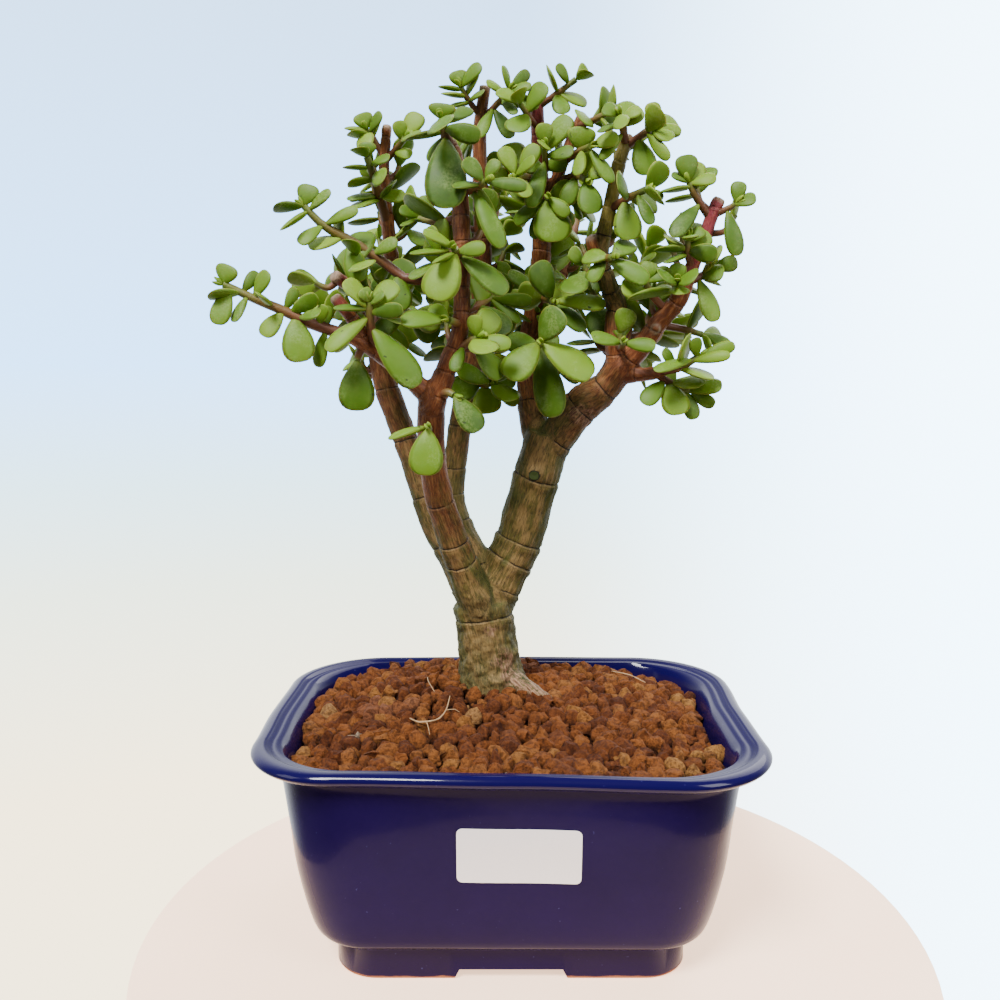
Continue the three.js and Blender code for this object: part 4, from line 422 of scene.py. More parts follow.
# small shoots inside the crown: where they start, how they grow and how clear they stay
BUDS = dict(limbs=("far_left_stem", "middle_stem", "front_branch", "centre_branch", "inner_right",
                   "outer_right", "top_right", "crown_stub", "upper_stub", "back_left", "back_middle",
                   "back_right", "back_outer"),
            sample=2.0, step=5.0, back_step=0.6, end=0.93, low=176, high=248, sides=3, front=-0.35,
            twig=(5.0, 10.0), girth=(1.1, 0.8), pairs=(0.7, 1.0), leaf=(7.5, 11.5), least=2,
            clear=1.7, inset=0.5)
TIP_MATCH = 0.05  # a solid's leaf is found when its tip lies this near
BOX_MARGIN = 0.00002  # metres


# ---- Numbers and lines --------------------------------------------------------------------------
def placed(points):
    """Places about the pot's centre line in millimetres as places in the frame."""
    return (np.asarray(points, float) - MIDDLE) * MM


def draw(i, j):
    """A repeatable number from 0 to 1 for two counters."""
    s = math.sin(i * 12.9898 + j * 78.233) * 43758.5453
    return s - math.floor(s)


def unit(v):
    return v / np.linalg.norm(v)


def across(v, axis):
    """The part of v at right angles to axis."""
    return v - axis * np.dot(v, axis)


def turned(v, axis, degrees):
    c, s = math.cos(math.radians(degrees)), math.sin(math.radians(degrees))
    return v * c + np.cross(axis, v) * s + axis * np.dot(axis, v) * (1 - c)


def lerp(a, b, t):
    return a + (b - a) * t


class Line:
    """A smooth line through points, with its place given from 0 to 1."""

    def __init__(self, points):
        p = np.asarray(points, float)
        self.points = np.vstack([2 * p[0] - p[1], p, 2 * p[-1] - p[-2]])

    def at(self, t):
        spans = len(self.points) - 3
        k = min(int(t * spans), spans - 1)
        u = t * spans - k
        a, b, c, d = self.points[k:k + 4]
        square, cube = 2 * a - 5 * b + 4 * c - d, 3 * (b - c) + d - a
        return 0.5 * (2 * b + (c - a) * u + square * u**2 + cube * u**3)

    def heading(self, t):
        return unit((self.at(min(1, t + 0.01)) - self.at(max(0, t - 0.01)))[:3])


# ---- Meshes -------------------------------------------------------------------------------------
def mesh_object(name, points, faces, edges=()):
    """A mesh object from places in millimetres about the pot's centre line."""
    mesh = bpy.data.meshes.new(name)
    corners = [tuple(point) for point in placed(points)]
    mesh.from_pydata(corners, [tuple(edge) for edge in edges], [tuple(face) for face in faces])
    mesh.update()
    made = bpy.data.objects.new(name, mesh)
    bpy.context.scene.collection.objects.link(made)
    return made


def tube_faces(rings, count, closed=True):
    """Faces between rings of equal count, with a fan of one point at each end when closed."""
    faces = []
    start = 1 if closed else 0
    for r in range(rings - 1):
        a = start + r * count
        for i in range(count):
            j = (i + 1) % count
            faces.append((a + i, a + j, a + count + j, a + count + i))
    if closed:
        last = start + (rings - 1) * count
        for i in range(count):
            j = (i + 1) % count
            faces.append((0, 1 + j, 1 + i))
            faces.append((last + i, last + j, last + count))
    return faces


def joined_tubes(tubes):
    """The points and faces of several tubes as one list of each."""
    points, faces = [], []
    for tube_points, tube in tubes:
        faces += [tuple(i + len(points) for i in face) for face in tube]
        points += list(tube_points)
    return points, faces


def read(items, field, width, kind=np.float32):
    """A field of a mesh's points or edges as an array with one row for each."""
    flat = np.zeros(len(items) * width, kind)
    items.foreach_get(field, flat)
    return flat.reshape(-1, width)


def set_values(mesh, name, kind, values):
    attribute = mesh.attributes.new(name, kind, "POINT")
    field = "vector" if kind == "FLOAT_VECTOR" else "value"
    attribute.data.foreach_set(field, np.asarray(values, np.float32).ravel())


def finished(made):
    """The object with its modifiers worked into a plain mesh."""
    evaluated = made.evaluated_get(bpy.context.evaluated_depsgraph_get())
    mesh = bpy.data.meshes.new_from_object(evaluated)
    made.modifiers.clear()
    made.data = mesh
    mesh.name = made.name
    return made


def cut(made, *tools):
    """Takes the cutting shapes out of a solid one, and deletes them."""
    for tool in tools:
        modifier = made.modifiers.new("cut", "BOOLEAN")
        modifier.operation = "DIFFERENCE"
        modifier.solver = "EXACT"
        modifier.object = tool
    finished(made)
    for tool in tools:
        bpy.data.objects.remove(tool)
    return made


def smooth_shaded(made, sharp=None):
    made.data.polygons.foreach_set("use_smooth", [True] * len(made.data.polygons))
    if sharp:
        made.data.set_sharp_from_angle(angle=math.radians(sharp))
    return made


def piece(made, slot, *nodes, finish=None):
    """Hangs a finished piece on the frame."""
    if finish:
        made.data.materials.clear()
        made.data.materials.append(finish)
    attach(made, "root")
    if nodes:
        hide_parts(*nodes)
    return made


# ---- Node trees ---------------------------------------------------------------------------------
class Value:
    """A node's socket that can be added, multiplied and so on: each sum adds a Math node."""

    def __init__(self, graph, socket):
        self.graph = graph
        self.socket = socket

    def math(self, operation, *others):
        sockets = {0: self, **dict(enumerate(others, 1))}
        return self.graph.node("ShaderNodeMath", {"operation": operation}, sockets)

    def __add__(self, other):
        return self.math("ADD", other)

    __radd__ = __add__

    def __sub__(self, other):
        return self.math("SUBTRACT", other)

    def __rsub__(self, other):
        return self.graph.node("ShaderNodeMath", {"operation": "SUBTRACT"}, {0: other, 1: self})

    def __mul__(self, other):
        return self.math("MULTIPLY", other)

    __rmul__ = __mul__

    def __pow__(self, other):
        return self.math("POWER", other)


class Graph:
    """Adds nodes to a shader or geometry tree."""

    def __init__(self, tree):
        self.tree = tree

    def node(self, kind, settings=None, sockets=None, out=0):
        made = self.tree.nodes.new(kind)
        for name, value in (settings or {}).items():
            if name == "stops":
                self.stops(made.color_ramp, value)
            else:
                setattr(made, name, value)
        for name, value in (sockets or {}).items():
            if isinstance(value, Value):
                self.tree.links.new(value.socket, made.inputs[name])
            else:
                made.inputs[name].default_value = value
        return Value(self, made.outputs[out])

    @staticmethod
    def stops(ramp, stops):
        while len(ramp.elements) < len(stops):
            ramp.elements.new(0.5)
        for element, (place, colour) in zip(ramp.elements, stops):
            element.position = place
            element.color = (*colour, 1)

    def mix(self, factor, a, b):
        return self.node("ShaderNodeMix", {"data_type": "RGBA"}, {0: factor, 6: a, 7: b}, out=2)

    def ramp(self, value, stops):
        return self.node("ShaderNodeValToRGB", {"stops": stops}, {0: value})

    def noise(self, place, scale, detail=3, roughness=0.5):
        sockets = {"Vector": place, "Scale": scale, "Detail": detail, "Roughness": roughness}
        return self.node("ShaderNodeTexNoise", {}, sockets)

    def attribute(self, name, out=2):
        return self.node("ShaderNodeAttribute", {"attribute_name": name}, out=out)

    def place(self):
        return self.node("ShaderNodeTexCoord", out=3)

    def vector(self, operation, a, b, out=0):
        return self.node("ShaderNodeVectorMath", {"operation": operation}, {0: a, 1: b}, out)

    def scaled(self, vector, scale):
        return self.node("ShaderNodeVectorMath", {"operation": "SCALE"}, {0: vector, "Scale": scale})

    def axis(self, vector, k):
        """One of a vector's three numbers."""
        return self.node("ShaderNodeSeparateXYZ", {}, {0: vector}, out=k)

    def bump(self, height, strength, distance):
        sockets = {"Strength": strength, "Distance": distance, "Height": height}
        return self.node("ShaderNodeBump", {}, sockets)

    def band(self, value, low, high):
        """0 below low, 1 above high, smooth between."""
        sockets = {0: value, 1: low, 2: high, 3: 0.0, 4: 1.0}
        return self.node("ShaderNodeMapRange", {"interpolation_type": "SMOOTHSTEP"}, sockets)


def rgb(r, g, b):
    return (r, g, b, 1)


def new_tree(name, inputs):
    """A geometry tree with named inputs, as its graph and the values of those inputs."""
    tree = bpy.data.node_groups.new(name, "GeometryNodeTree")
    tree.interface.new_socket("Geometry", in_out="OUTPUT", socket_type="NodeSocketGeometry")
    for label, kind in inputs.items():
        tree.interface.new_socket(label, in_out="INPUT", socket_type="NodeSocket" + kind)
    g = Graph(tree)
    group = tree.nodes.new("NodeGroupInput")
    return g, {label: Value(g, group.outputs[label]) for label in inputs}


def ended(g, geometry):
    """The tree with its geometry led to its output."""
    out = g.tree.nodes.new("NodeGroupOutput")
    g.tree.links.new(geometry.socket, out.inputs[0])
    return g.tree


def new_finish(name, build, **constants):
    """A material whose build function gives the sockets that vary, and constants the others."""
    finish = bpy.data.materials.new(name)
    finish.use_nodes = True
    tree = finish.node_tree
    shader = tree.nodes["Principled BSDF"]
    for socket, value in constants.items():
        shader.inputs[socket.replace("_", " ")].default_value = value
    graph = Graph(tree)
    for socket, value in build(graph).items():
        tree.links.new(value.socket, shader.inputs[socket])
    return finish


# ---- Finishes -----------------------------------------------------------------------------------
def cobalt_glaze(g):
    place = g.place()
    height = g.axis(place, 2)
    cloud = g.noise(place, 38, 4, 0.6)
    body = g.mix(cloud, rgb(0.006, 0.0024, 0.028), rgb(0.01, 0.0035, 0.05))
    lip = g.band(height, 0.0622, 0.0642)
    colour = g.mix(lip, body, rgb(0.0045, 0.001, 0.048))
    pooled = g.band(height, 0.022, 0.006)
    colour = g.mix(pooled * 0.6, colour, rgb(0.008, 0.003, 0.025))
    speck = g.band(g.noise(place, 900, 2, 0.5), 0.74, 0.78)
    colour = g.mix(speck * 0.4, colour, rgb(0.06, 0.06, 0.2))
    bare = g.band(height + g.noise(place, 160, 2) * 0.0012, 0.0018, 0.0012)
    clay = g.mix(g.noise(place, 500, 3), rgb(0.23, 0.085, 0.035), rgb(0.36, 0.16, 0.075))
    swell = g.noise(place, 24, 2, 0.4)
    ripple = g.noise(place, 210, 2, 0.5)
    normal = g.bump(swell + ripple * 0.1 + bare * g.noise(place, 1400, 3) * 0.4, 0.35, 0.001)
    return {
        "Base Color": g.mix(bare, colour, clay),
        "Roughness": 0.13 + bare * 0.7 + g.noise(place, 60, 3) * 0.08,
        "Coat Weight": (0.04 + g.band(height, 0.0636, 0.066) * 0.4) * (1 - bare),
        "Normal": normal,
    }


def fired_clay(g):
    place = g.place()
    tint = g.attribute("tint")
    seat = g.attribute("seat", out=1)
    colour = g.ramp(tint, [(0.0, (0.11, 0.027, 0.005)), (0.3, (0.175, 0.048, 0.009)),
                           (0.7, (0.25, 0.076, 0.014)), (0.93, (0.3, 0.105, 0.022)),
                           (0.985, (0.34, 0.14, 0.03)), (1.0, (0.36, 0.18, 0.06))])
    patches = ((OCHRE_SPOTS, 0.0065, rgb(0.4, 0.185, 0.045)),
               (CLUMP_SPOTS, 0.0045, rgb(0.24, 0.085, 0.035)),
               (PALE_SPOTS, 0.0024, rgb(0.5, 0.4, 0.28)))
    for spots, reach, tan in patches:
        for spot in spots:
            away = g.vector("DISTANCE", seat, tuple(placed(spot)), out=1)
            colour = g.mix(g.band(away, reach, reach * 0.75) * 0.8, colour, tan)
    # painted shade: each grain turns almost black below the height of its own centre, as if its underside
    # lay in shadow
    over = g.axis(g.vector("SUBTRACT", place, seat), 2)
    colour = g.mix(g.band(over, 0.0012, -0.0018) * 0.85, colour, rgb(0.016, 0.004, 0.001))
    # one noise raises the grains' bump and paints their colour: painted shade in its hollows and a
    # painted highlight on its crests
    relief_shade_and_highlight = g.noise(place, 700, 4, 0.65)
    colour = g.mix(g.band(relief_shade_and_highlight, 0.58, 0.36) * 0.75, colour, g.mix(0.8, colour, rgb(0.02, 0.004, 0.001)))
    colour = g.mix(g.band(relief_shade_and_highlight, 0.55, 0.75) * 0.4, colour, rgb(0.42, 0.15, 0.035))
    pores = g.noise(place, 2300, 3, 0.7)
    return {
        "Base Color": colour,
        "Roughness": 0.85 + pores * 0.15,
        "Normal": g.bump(relief_shade_and_highlight * 1.3 + pores * 0.6, 1.0, 0.0018),
    }


def damp_bed(g):
    # painted shade: the bed is near-black so that the gaps between the loose grains read as deep shadow
    grit = g.noise(g.place(), 420, 5, 0.7)
    return {
        "Base Color": g.mix(grit, rgb(0.012, 0.004, 0.001), rgb(0.04, 0.011, 0.003)),
        "Roughness": 0.9 + grit * 0.1,
        "Normal": g.bump(grit, 1.0, 0.0012),
    }


def bark(g):
    place = g.place()
    streak = g.attribute("streak", out=1)
    tone = g.attribute("tone")
    corky = g.attribute("corky")
    fibres = g.noise(g.vector("MULTIPLY", streak, (1, 1, 0.1)), 3600, 3, 0.65)
    strands = g.noise(g.vector("MULTIPLY", streak, (1, 1, 0.15)), 1400, 3, 0.6)
    broad = g.noise(g.vector("MULTIPLY", streak, (1, 1, 0.35)), 260, 3, 0.55)
    flakes = g.noise(place, 1000, 4, 0.75)
    chips = g.noise(place, 330, 3, 0.6)
    # painted light: the older bark runs from dark olive on its sides and tops to tan on faces turned to
    # the front, broken up by the streaks
    sunny = g.attribute("sunny") + (broad - 0.5) * 1.3 + (strands - 0.5) * 0.9
    old = g.ramp(sunny, [(0.15, (0.038, 0.05, 0.003)), (0.5, (0.072, 0.077, 0.007)),
                         (0.8, (0.14, 0.1, 0.018)), (1.0, (0.27, 0.165, 0.05))])
    moss = g.mix(g.band(flakes, 0.4, 0.62), rgb(0.016, 0.022, 0.002), rgb(0.17, 0.115, 0.036))
    old = g.mix(corky * 0.75, old, moss)
    red = g.ramp(strands, [(0.3, (0.125, 0.031, 0.008)), (0.5, (0.21, 0.06, 0.015)),
                           (0.7, (0.36, 0.13, 0.04))])
    magenta = g.mix(strands, rgb(0.22, 0.014, 0.03), rgb(0.42, 0.07, 0.085))
    green = g.mix(broad, rgb(0.14, 0.115, 0.008), rgb(0.27, 0.2, 0.03))
    shift = tone + (broad - 0.5) * 0.6 + (chips - 0.5) * 0.4
    colour = g.mix(g.band(shift, 0.2, 0.75), old, red)
    colour = g.mix(g.band(shift, 1.25, 1.75), colour, magenta)
    colour = g.mix(g.band(0 - shift, 0.1, 0.6), colour, green)
    smooth = g.band(tone.math("ABSOLUTE"), 0.4, 1.0)
    furrow = g.mix(0.7, colour, rgb(0.006, 0.004, 0.001))
    colour = g.mix(g.band(fibres, 0.52, 0.3) * (0.85 - smooth * 0.6), colour, furrow)
    colour = g.mix(g.band(fibres, 0.55, 0.7) * 0.55, colour, g.mix(0.5, colour, rgb(0.5, 0.3, 0.12)))
    crack = g.band((strands - 0.47).math("ABSOLUTE"), 0.014, 0.004) * g.band(chips, 0.45, 0.6)
    colour = g.mix(crack * (0.8 - smooth * 0.6), colour, rgb(0.01, 0.007, 0.002))
    patch = g.band(g.attribute("scurf") + (chips - 0.5) * 1.3, 0.35, 0.75)
    scurf = g.band(flakes + strands - 0.5, 0.36, 0.56) * patch
    crust = g.mix(g.band(fibres, 0.35, 0.65), rgb(0.1, 0.035, 0.016), rgb(0.38, 0.22, 0.125))
    colour = g.mix(scurf * 0.85, colour, crust)
    gap = g.attribute("ring_gap") + (chips - 0.5) * 0.7
    groove = g.band(gap.math("ABSOLUTE"), 0.34, 0.1) * g.band(broad + chips * 0.5, 0.5, 0.78)
    colour = g.mix(groove * (0.85 - smooth * 0.5), colour, rgb(0.014, 0.009, 0.003))
    collar = g.band((gap + 0.62).math("ABSOLUTE"), 0.5, 0.15)
    # painted highlight: the swelling just below each ring is painted lighter, as if catching the light
    colour = g.mix(collar * 0.14, colour, rgb(0.26, 0.16, 0.07))
    eye = g.attribute("eye")
    colour = g.mix(g.band(eye, 0.02, 0.3), colour, rgb(0.012, 0.012, 0.003))
    green_eye = g.mix(chips, rgb(0.03, 0.055, 0.008), rgb(0.08, 0.11, 0.02))
    colour = g.mix(g.band(eye, 0.45, 0.7), colour, green_eye)
    pale_wood = g.mix(flakes, rgb(0.2, 0.1, 0.055), rgb(0.46, 0.33, 0.22))
    colour = g.mix(g.attribute("cut"), colour, pale_wood)
    height = fibres * 0.8 + strands * 0.6 + flakes * (corky + 0.25) - groove * 1.2 + collar * 0.3 - crack
    return {
        "Base Color": colour,
        "Roughness": 0.58 - smooth * 0.22 + flakes * 0.14,
        "Normal": g.bump(height, 0.8, 0.0005),
    }


def dry_root(g):
    fibre = g.noise(g.place(), 1500, 3, 0.6)
    return {
        "Base Color": g.mix(fibre, rgb(0.26, 0.13, 0.05), rgb(0.52, 0.35, 0.18)),
        "Roughness": 0.6 + fibre * 0.2,
        "Normal": g.bump(fibre, 0.5, 0.0003),
    }


def leaf_skin(g):
    place = g.place()
    tint = g.attribute("tint")
    young = g.attribute("young")
    rim = g.attribute("rim")
    along = g.attribute("along_leaf")
    mottle = g.noise(place, 260, 3, 0.55)
    old = g.ramp(tint, [(0.0, (0.04, 0.096, 0.003)), (0.5, (0.088, 0.182, 0.006)),
                        (1.0, (0.165, 0.28, 0.013))])
    fresh = g.mix(tint, rgb(0.14, 0.25, 0.013), rgb(0.23, 0.35, 0.025))
    colour = g.mix(young, old, fresh)
    colour = g.mix((mottle - 0.35) * 0.6, colour, rgb(0.16, 0.27, 0.03))
    grains = g.band(g.noise(place, 1300, 3, 0.7), 0.38, 0.66)
    frost = g.band(g.noise(place, 130, 2, 0.5), 0.46, 0.68) * grains
    colour = g.mix(frost * 0.3, colour, rgb(0.32, 0.43, 0.13))
    colour = g.mix(g.band(along, 0.3, 0.0) * 0.4, colour, rgb(0.24, 0.28, 0.03))
    # the rim and tip are paler: partly the leaf's own paler margin, partly a painted highlight along its
    # rounded edge
    colour = g.mix(g.band(rim, 0.6, 1.0) * 0.5, colour, rgb(0.34, 0.4, 0.07))
    speck = g.band(g.noise(place, 520, 1, 0.4), 0.765, 0.785)
    colour = g.mix(speck * (1 - young) * 0.8, colour, rgb(0.02, 0.025, 0.008))
    pores = g.noise(place, 2400, 2, 0.5)
    return {
        "Base Color": colour,
        "Roughness": 0.42 + mottle * 0.2,
        "Normal": g.bump(mottle + pores * 0.25, 0.18, 0.0006),
    }


def twig_skin(g):
    place = g.place()
    age = g.attribute("age")
    blotch = g.noise(place, 300, 3, 0.6)
    colour = g.ramp(age + (blotch - 0.5) * 0.4, [(0.0, (0.1, 0.03, 0.012)), (0.35, (0.16, 0.055, 0.018)),
                                                  (0.65, (0.17, 0.11, 0.02)), (1.0, (0.13, 0.18, 0.025))])
    return {
        "Base Color": colour,
        "Roughness": 0.42 + blotch * 0.2,
        "Normal": g.bump(g.noise(place, 1800, 3), 0.35, 0.0004),
    }


def paper(g):
    fibre = g.noise(g.place(), 1600, 3, 0.6)
    return {
        "Base Color": g.mix(fibre, rgb(0.82, 0.81, 0.83), rgb(0.9, 0.89, 0.9)),
        "Roughness": 0.42 + fibre * 0.1,
        "Normal": g.bump(fibre, 0.15, 0.0002),
    }


def black_plastic(g):
    grain = g.noise(g.place(), 900, 2, 0.5)
    return {
        "Base Color": g.mix(grain, rgb(0.012, 0.012, 0.013), rgb(0.03, 0.03, 0.032)),
        "Roughness": 0.45 + grain * 0.15,
        "Normal": g.bump(grain, 0.3, 0.0003),
    }


def pale_ground(g):
    cloth = g.noise(g.place(), 30, 4)
    return {
        "Base Color": g.mix(cloth, rgb(0.88, 0.62, 0.45), rgb(0.92, 0.7, 0.53)),
        "Roughness": 0.65 + cloth * 0.1,
    }


# ---- Pot and label ------------------------------------------------------------------------------
def plan_ring(row, grow=0.0, plan=PLAN):
    """One ring of the pot's plan: a rectangle with round corners and sides that swing in and out."""
    z, half_x, half_y, corner, share = row
    swings = [np.array(swing) * share for swing in SWING.values()]
    ring = []
    for k, (start, middle, end) in enumerate(swings):
        a = math.radians(90 * k - 90)
        steps = plan["short" if k % 2 else "long"]
        out = np.array([math.cos(a), math.sin(a)])
        along = np.array([-out[1], out[0]])
        reach, run = (half_x, half_y - corner) if k % 2 else (half_y, half_x - corner)
        for i in range(steps):
            s = i / steps
            bulge = lerp(end if s > 0.5 else start, middle, math.sin(math.pi * s) ** 2)
            ring.append(out * (reach + grow + bulge) + along * (2 * s - 1) * run)
        centre = out * (reach - corner) + along * run
        for i in range(plan["corner"]):
            t = i / plan["corner"]
            arm = out * math.cos(t * math.pi / 2) + along * math.sin(t * math.pi / 2)
            ring.append(centre + arm * (corner + grow + lerp(end, swings[(k + 1) % 4][0], t)))
    return np.array([(x, y, z) for x, y in ring])


def smooth_rows(rows):
    """The rows of a table with smooth rows between them."""
    line = Line(rows)
    count = (len(rows) - 1) * ROW_STEPS
    return [tuple(line.at(i / count)) for i in range(count + 1)]


def notch_bar(half, along_x):
    """A bar with sloping ends that cuts the arch between two feet."""
    slope, top, reach, low = NOTCH["slope"], NOTCH["height"], CUTTER["reach"], CUTTER["low"]
    outline = [(-half - slope, low), (half + slope, low), (half, top), (-half, top)]
    points = [((u, v, z) if along_x else (v, u, z)) for v in (-reach, reach) for u, z in outline]
    faces = [(3, 2, 1, 0), (4, 5, 6, 7)] + [(i, (i + 1) % 4, (i + 1) % 4 + 4, i + 4) for i in range(4)]
    return mesh_object("notch", points, [face[::-1] for face in faces] if along_x else faces)


def drain_bore(side):
    """A round bar that cuts one drain hole."""
    angles = [2 * math.pi * i / DRAIN["sides"] for i in range(DRAIN["sides"])]
    x, r = side * DRAIN["x"], DRAIN["radius"]
    low, high = CUTTER["bore_low"], CUTTER["bore_high"]
    rings = [(x + r * math.cos(a), r * math.sin(a), z) for z in (low, high) for a in angles]
    points = [(x, 0, low), *rings, (x, 0, high)]
    return mesh_object("bore", points, tube_faces(2, DRAIN["sides"]))


def foot_rows():
    """The rows of the foot, from the pot's underside round the foot's edge and up to the body."""
    half_x, half_y, corner = FOOT["half_x"], FOOT["half_y"], FOOT["corner"]
    edge, middle, inner_edge = FOOT["edge"], FOOT["edge_middle"], FOOT["inner_edge"]
    inner_x, inner_y = half_x - FOOT["width"], half_y - FOOT["width"]
    inner_corner = corner - FOOT["width"] / 2
    return [
        (FLOOR_UNDER, inner_x, inner_y, inner_corner, 0),
        (inner_edge, inner_x, inner_y, inner_corner, 0),
        (0, inner_x + inner_edge, inner_y + inner_edge, inner_corner, 0),
        (0, half_x - edge, half_y - edge, corner, 0),
        (middle, half_x - middle, half_y - middle, corner, 0),
        (edge, half_x, half_y, corner, 0),
        (FOOT["top"], half_x, half_y, corner, 0),
    ]


def make_pot(finish):
    rows = foot_rows() + smooth_rows(POT_OUTSIDE + POT_LIP + POT_INSIDE)
    rings = [plan_ring(row, SKIN if row[0] > 1 else 0) for row in rows]
    points = np.vstack([[(0, 0, FLOOR_UNDER)], *rings, [(0, 0, FLOOR_TOP)]])
    pot = mesh_object("glazed_pot", points, tube_faces(len(rings), len(rings[0])))
    arches = notch_bar(NOTCH["long_half"], True), notch_bar(NOTCH["short_half"], False)
    cut(pot, *arches, drain_bore(-1), drain_bore(1))
    smooth_shaded(pot, POT_SHARP)
    return piece(pot, "glaze", "pot", finish=finish)


def front_wall(x, z):
    """How far forward the front of the pot stands at a place."""
    heights = [row[0] for row in POT_OUTSIDE]
    columns = ([row[k] for row in POT_OUTSIDE] for k in range(1, 5))
    half_x, half_y, corner, share = (np.interp(z, heights, column) for column in columns)
    s = (x / (half_x - corner) + 1) / 2
    start, middle, end = SWING["front"]
    return half_y + share * lerp(end if s > 0.5 else start, middle, math.sin(math.pi * s) ** 2)


def make_label(finish):
    half, corner = LABEL["width"] / 2, LABEL["corner"]
    points, faces = [], []
    columns, rows = LABEL["columns"], LABEL["rows"]
    for j in range(rows + 1):
        v = -math.cos(math.pi * j / rows) * LABEL["height"] / 2
        into = max(0.0, abs(v) - (LABEL["height"] / 2 - corner))
        reach = half - corner + math.sqrt(max(0.0, corner**2 - into**2))
        for i in range(columns + 1):
            x = LABEL["x"] + reach * (2 * i / columns - 1)
            points.append((x, -front_wall(x, LABEL["z"] + v) - LABEL["lift"], LABEL["z"] + v))
    for j in range(rows):
        for i in range(columns):
            a = j * (columns + 1) + i
            faces.append((a, a + 1, a + columns + 2, a + columns + 1))
    label = mesh_object("bare_label", points, faces)
    thick = label.modifiers.new("thick", "SOLIDIFY")
    thick.thickness = LABEL["thick"] * MM
    thick.offset = 1
    finished(label)
    smooth_shaded(label, LABEL_SHARP)
    return piece(label, "label_paper", "label", finish=finish)


# ---- Soil ---------------------------------------------------------------------------------------
def soil_height(x, y):
    """The height of the soil's surface, mounded at the back left and sunk at both ends."""
    dx = (x - MOUND["x"]) / MOUND["spread_x"]
    dy = (y - MOUND["y"]) / MOUND["spread_y"]
    ends = min(1.0, abs(x) / END_REACH) ** 3
    return SOIL_LEVEL + MOUND["height"] * math.exp(-(dx * dx + dy * dy) / 2) - END_SINK * ends


def soil_rings(inset, drop):
    """The soil's surface as rings from the wall to the middle."""
    edge = plan_ring(SOIL_EDGE, -inset, SOIL_PLAN)
    rings = []
    for k in range(SOIL_SHARES):
        ring = edge * (1 - k / SOIL_SHARES)
        ring[:, 2] = [soil_height(x, y) - drop for x, y, _ in ring]
        rings.append(ring)
    return rings


def make_bed(finish):
    """The bed under the loose grains, which fills the pot, painted near-black as the shade in the gaps
    between them.
    """
    rings = soil_rings(BED_GAP, BED_DROP)
    floor = plan_ring(POT_INSIDE[-1], -BED_GAP, SOIL_PLAN)
    floor[:, 2] = BED_FLOOR
    points = np.vstack([[(0, 0, BED_FLOOR)], floor, *rings, [(0, 0, soil_height(0, 0) - BED_DROP)]])
    bed = mesh_object("soil_bed", points, tube_faces(len(rings) + 1, len(floor)))
    smooth_shaded(bed)
    return piece(bed, "fired_clay_soil", "soil", finish=finish)


def grain_tree():
    """Angular grains scattered over a surface, each with its own lumps, turn, size and tint."""
    g, given = new_tree("loose_grains", {
        "Geometry": "Geometry", "Spacing": "Float", "Radius": "Float", "Facets": "Int", "Trunk": "Vector",
        "Trunk Radius": "Float", "Seed": "Int", "Finish": "Material"})
    scatter = {"Mesh": given["Geometry"], "Distance Min": given["Spacing"], "Density Max": 4e5,
               "Seed": given["Seed"]}
    points = g.node("GeometryNodeDistributePointsOnFaces", {"distribute_method": "POISSON"}, scatter)
    place = g.node("GeometryNodeInputPosition")
    away = g.vector("DISTANCE", g.vector("MULTIPLY", place, (1, 1, 0)), given["Trunk"], out=1)
    near = g.node("FunctionNodeCompare", {"operation": "LESS_THAN"}, {0: away, 1: given["Trunk Radius"]})
    sockets = {"Geometry": points, "Selection": near}
    points = g.node("GeometryNodeDeleteGeometry", {"domain": "POINT"}, sockets)
    sockets = {"Radius": given["Radius"], "Subdivisions": given["Facets"]}
    ball = g.node("GeometryNodeMeshIcoSphere", {}, sockets)
    turn = {"Min": (0, 0, 0), "Max": (6.28, 6.28, 6.28), "Seed": given["Seed"]}
    angle = g.node("FunctionNodeRandomValue", {"data_type": "FLOAT_VECTOR"}, turn)
    sides = {"Min": (0.66, 0.58, 0.52), "Max": (1.38, 1.18, 1.02), "Seed": given["Seed"] + 1}
    scale = g.node("FunctionNodeRandomValue", {"data_type": "FLOAT_VECTOR"}, sides)
    sockets = {"Points": points, "Instance": ball, "Rotation": angle, "Scale": scale}
    grains = g.node("GeometryNodeInstanceOnPoints", {}, sockets)
    shades = {2: 0.0, 3: 1.0, "Seed": given["Seed"] + 2}
    tint = g.node("FunctionNodeRandomValue", {"data_type": "FLOAT"}, shades, out=1)
    for name, kind, value in (("tint", "FLOAT", tint), ("seat", "FLOAT_VECTOR", place)):
        store = {"Geometry": grains, "Name": name, "Value": value}
        settings = {"data_type": kind, "domain": "INSTANCE"}
        grains = g.node("GeometryNodeStoreNamedAttribute", settings, store)
    grains = g.node("GeometryNodeRealizeInstances", {}, {"Geometry": grains})
    lumps = g.node("ShaderNodeTexVoronoi", {}, {"Vector": place, "Scale": 330.0}, out=1)
    lumps = g.vector("SUBTRACT", lumps, (0.5, 0.5, 0.5))
    fine = g.noise(place, 520.0, 2, 0.5)
    push = g.scaled(lumps, given["Radius"] * 0.42)
    swell = g.scaled(g.node("GeometryNodeInputNormal"), (fine - 0.5) * given["Radius"] * 0.8)
    push = g.vector("ADD", push, swell)
    grains = g.node("GeometryNodeSetPosition", {}, {"Geometry": grains, "Offset": push})
    grains = g.node("GeometryNodeSetMaterial", {}, {"Geometry": grains, "Material": given["Finish"]})
    return ended(g, grains)


def grow(made, tree, **values):
    """Runs a geometry tree on an object, with its named inputs set, and keeps the plain mesh."""
    modifier = made.modifiers.new("grow", "NODES")
    modifier.node_group = tree
    for item in tree.interface.items_tree:
        key = item.name.replace(" ", "_").lower()
        if item.in_out == "INPUT" and key in values:
            modifier[item.identifier] = values[key]
    return finished(made)


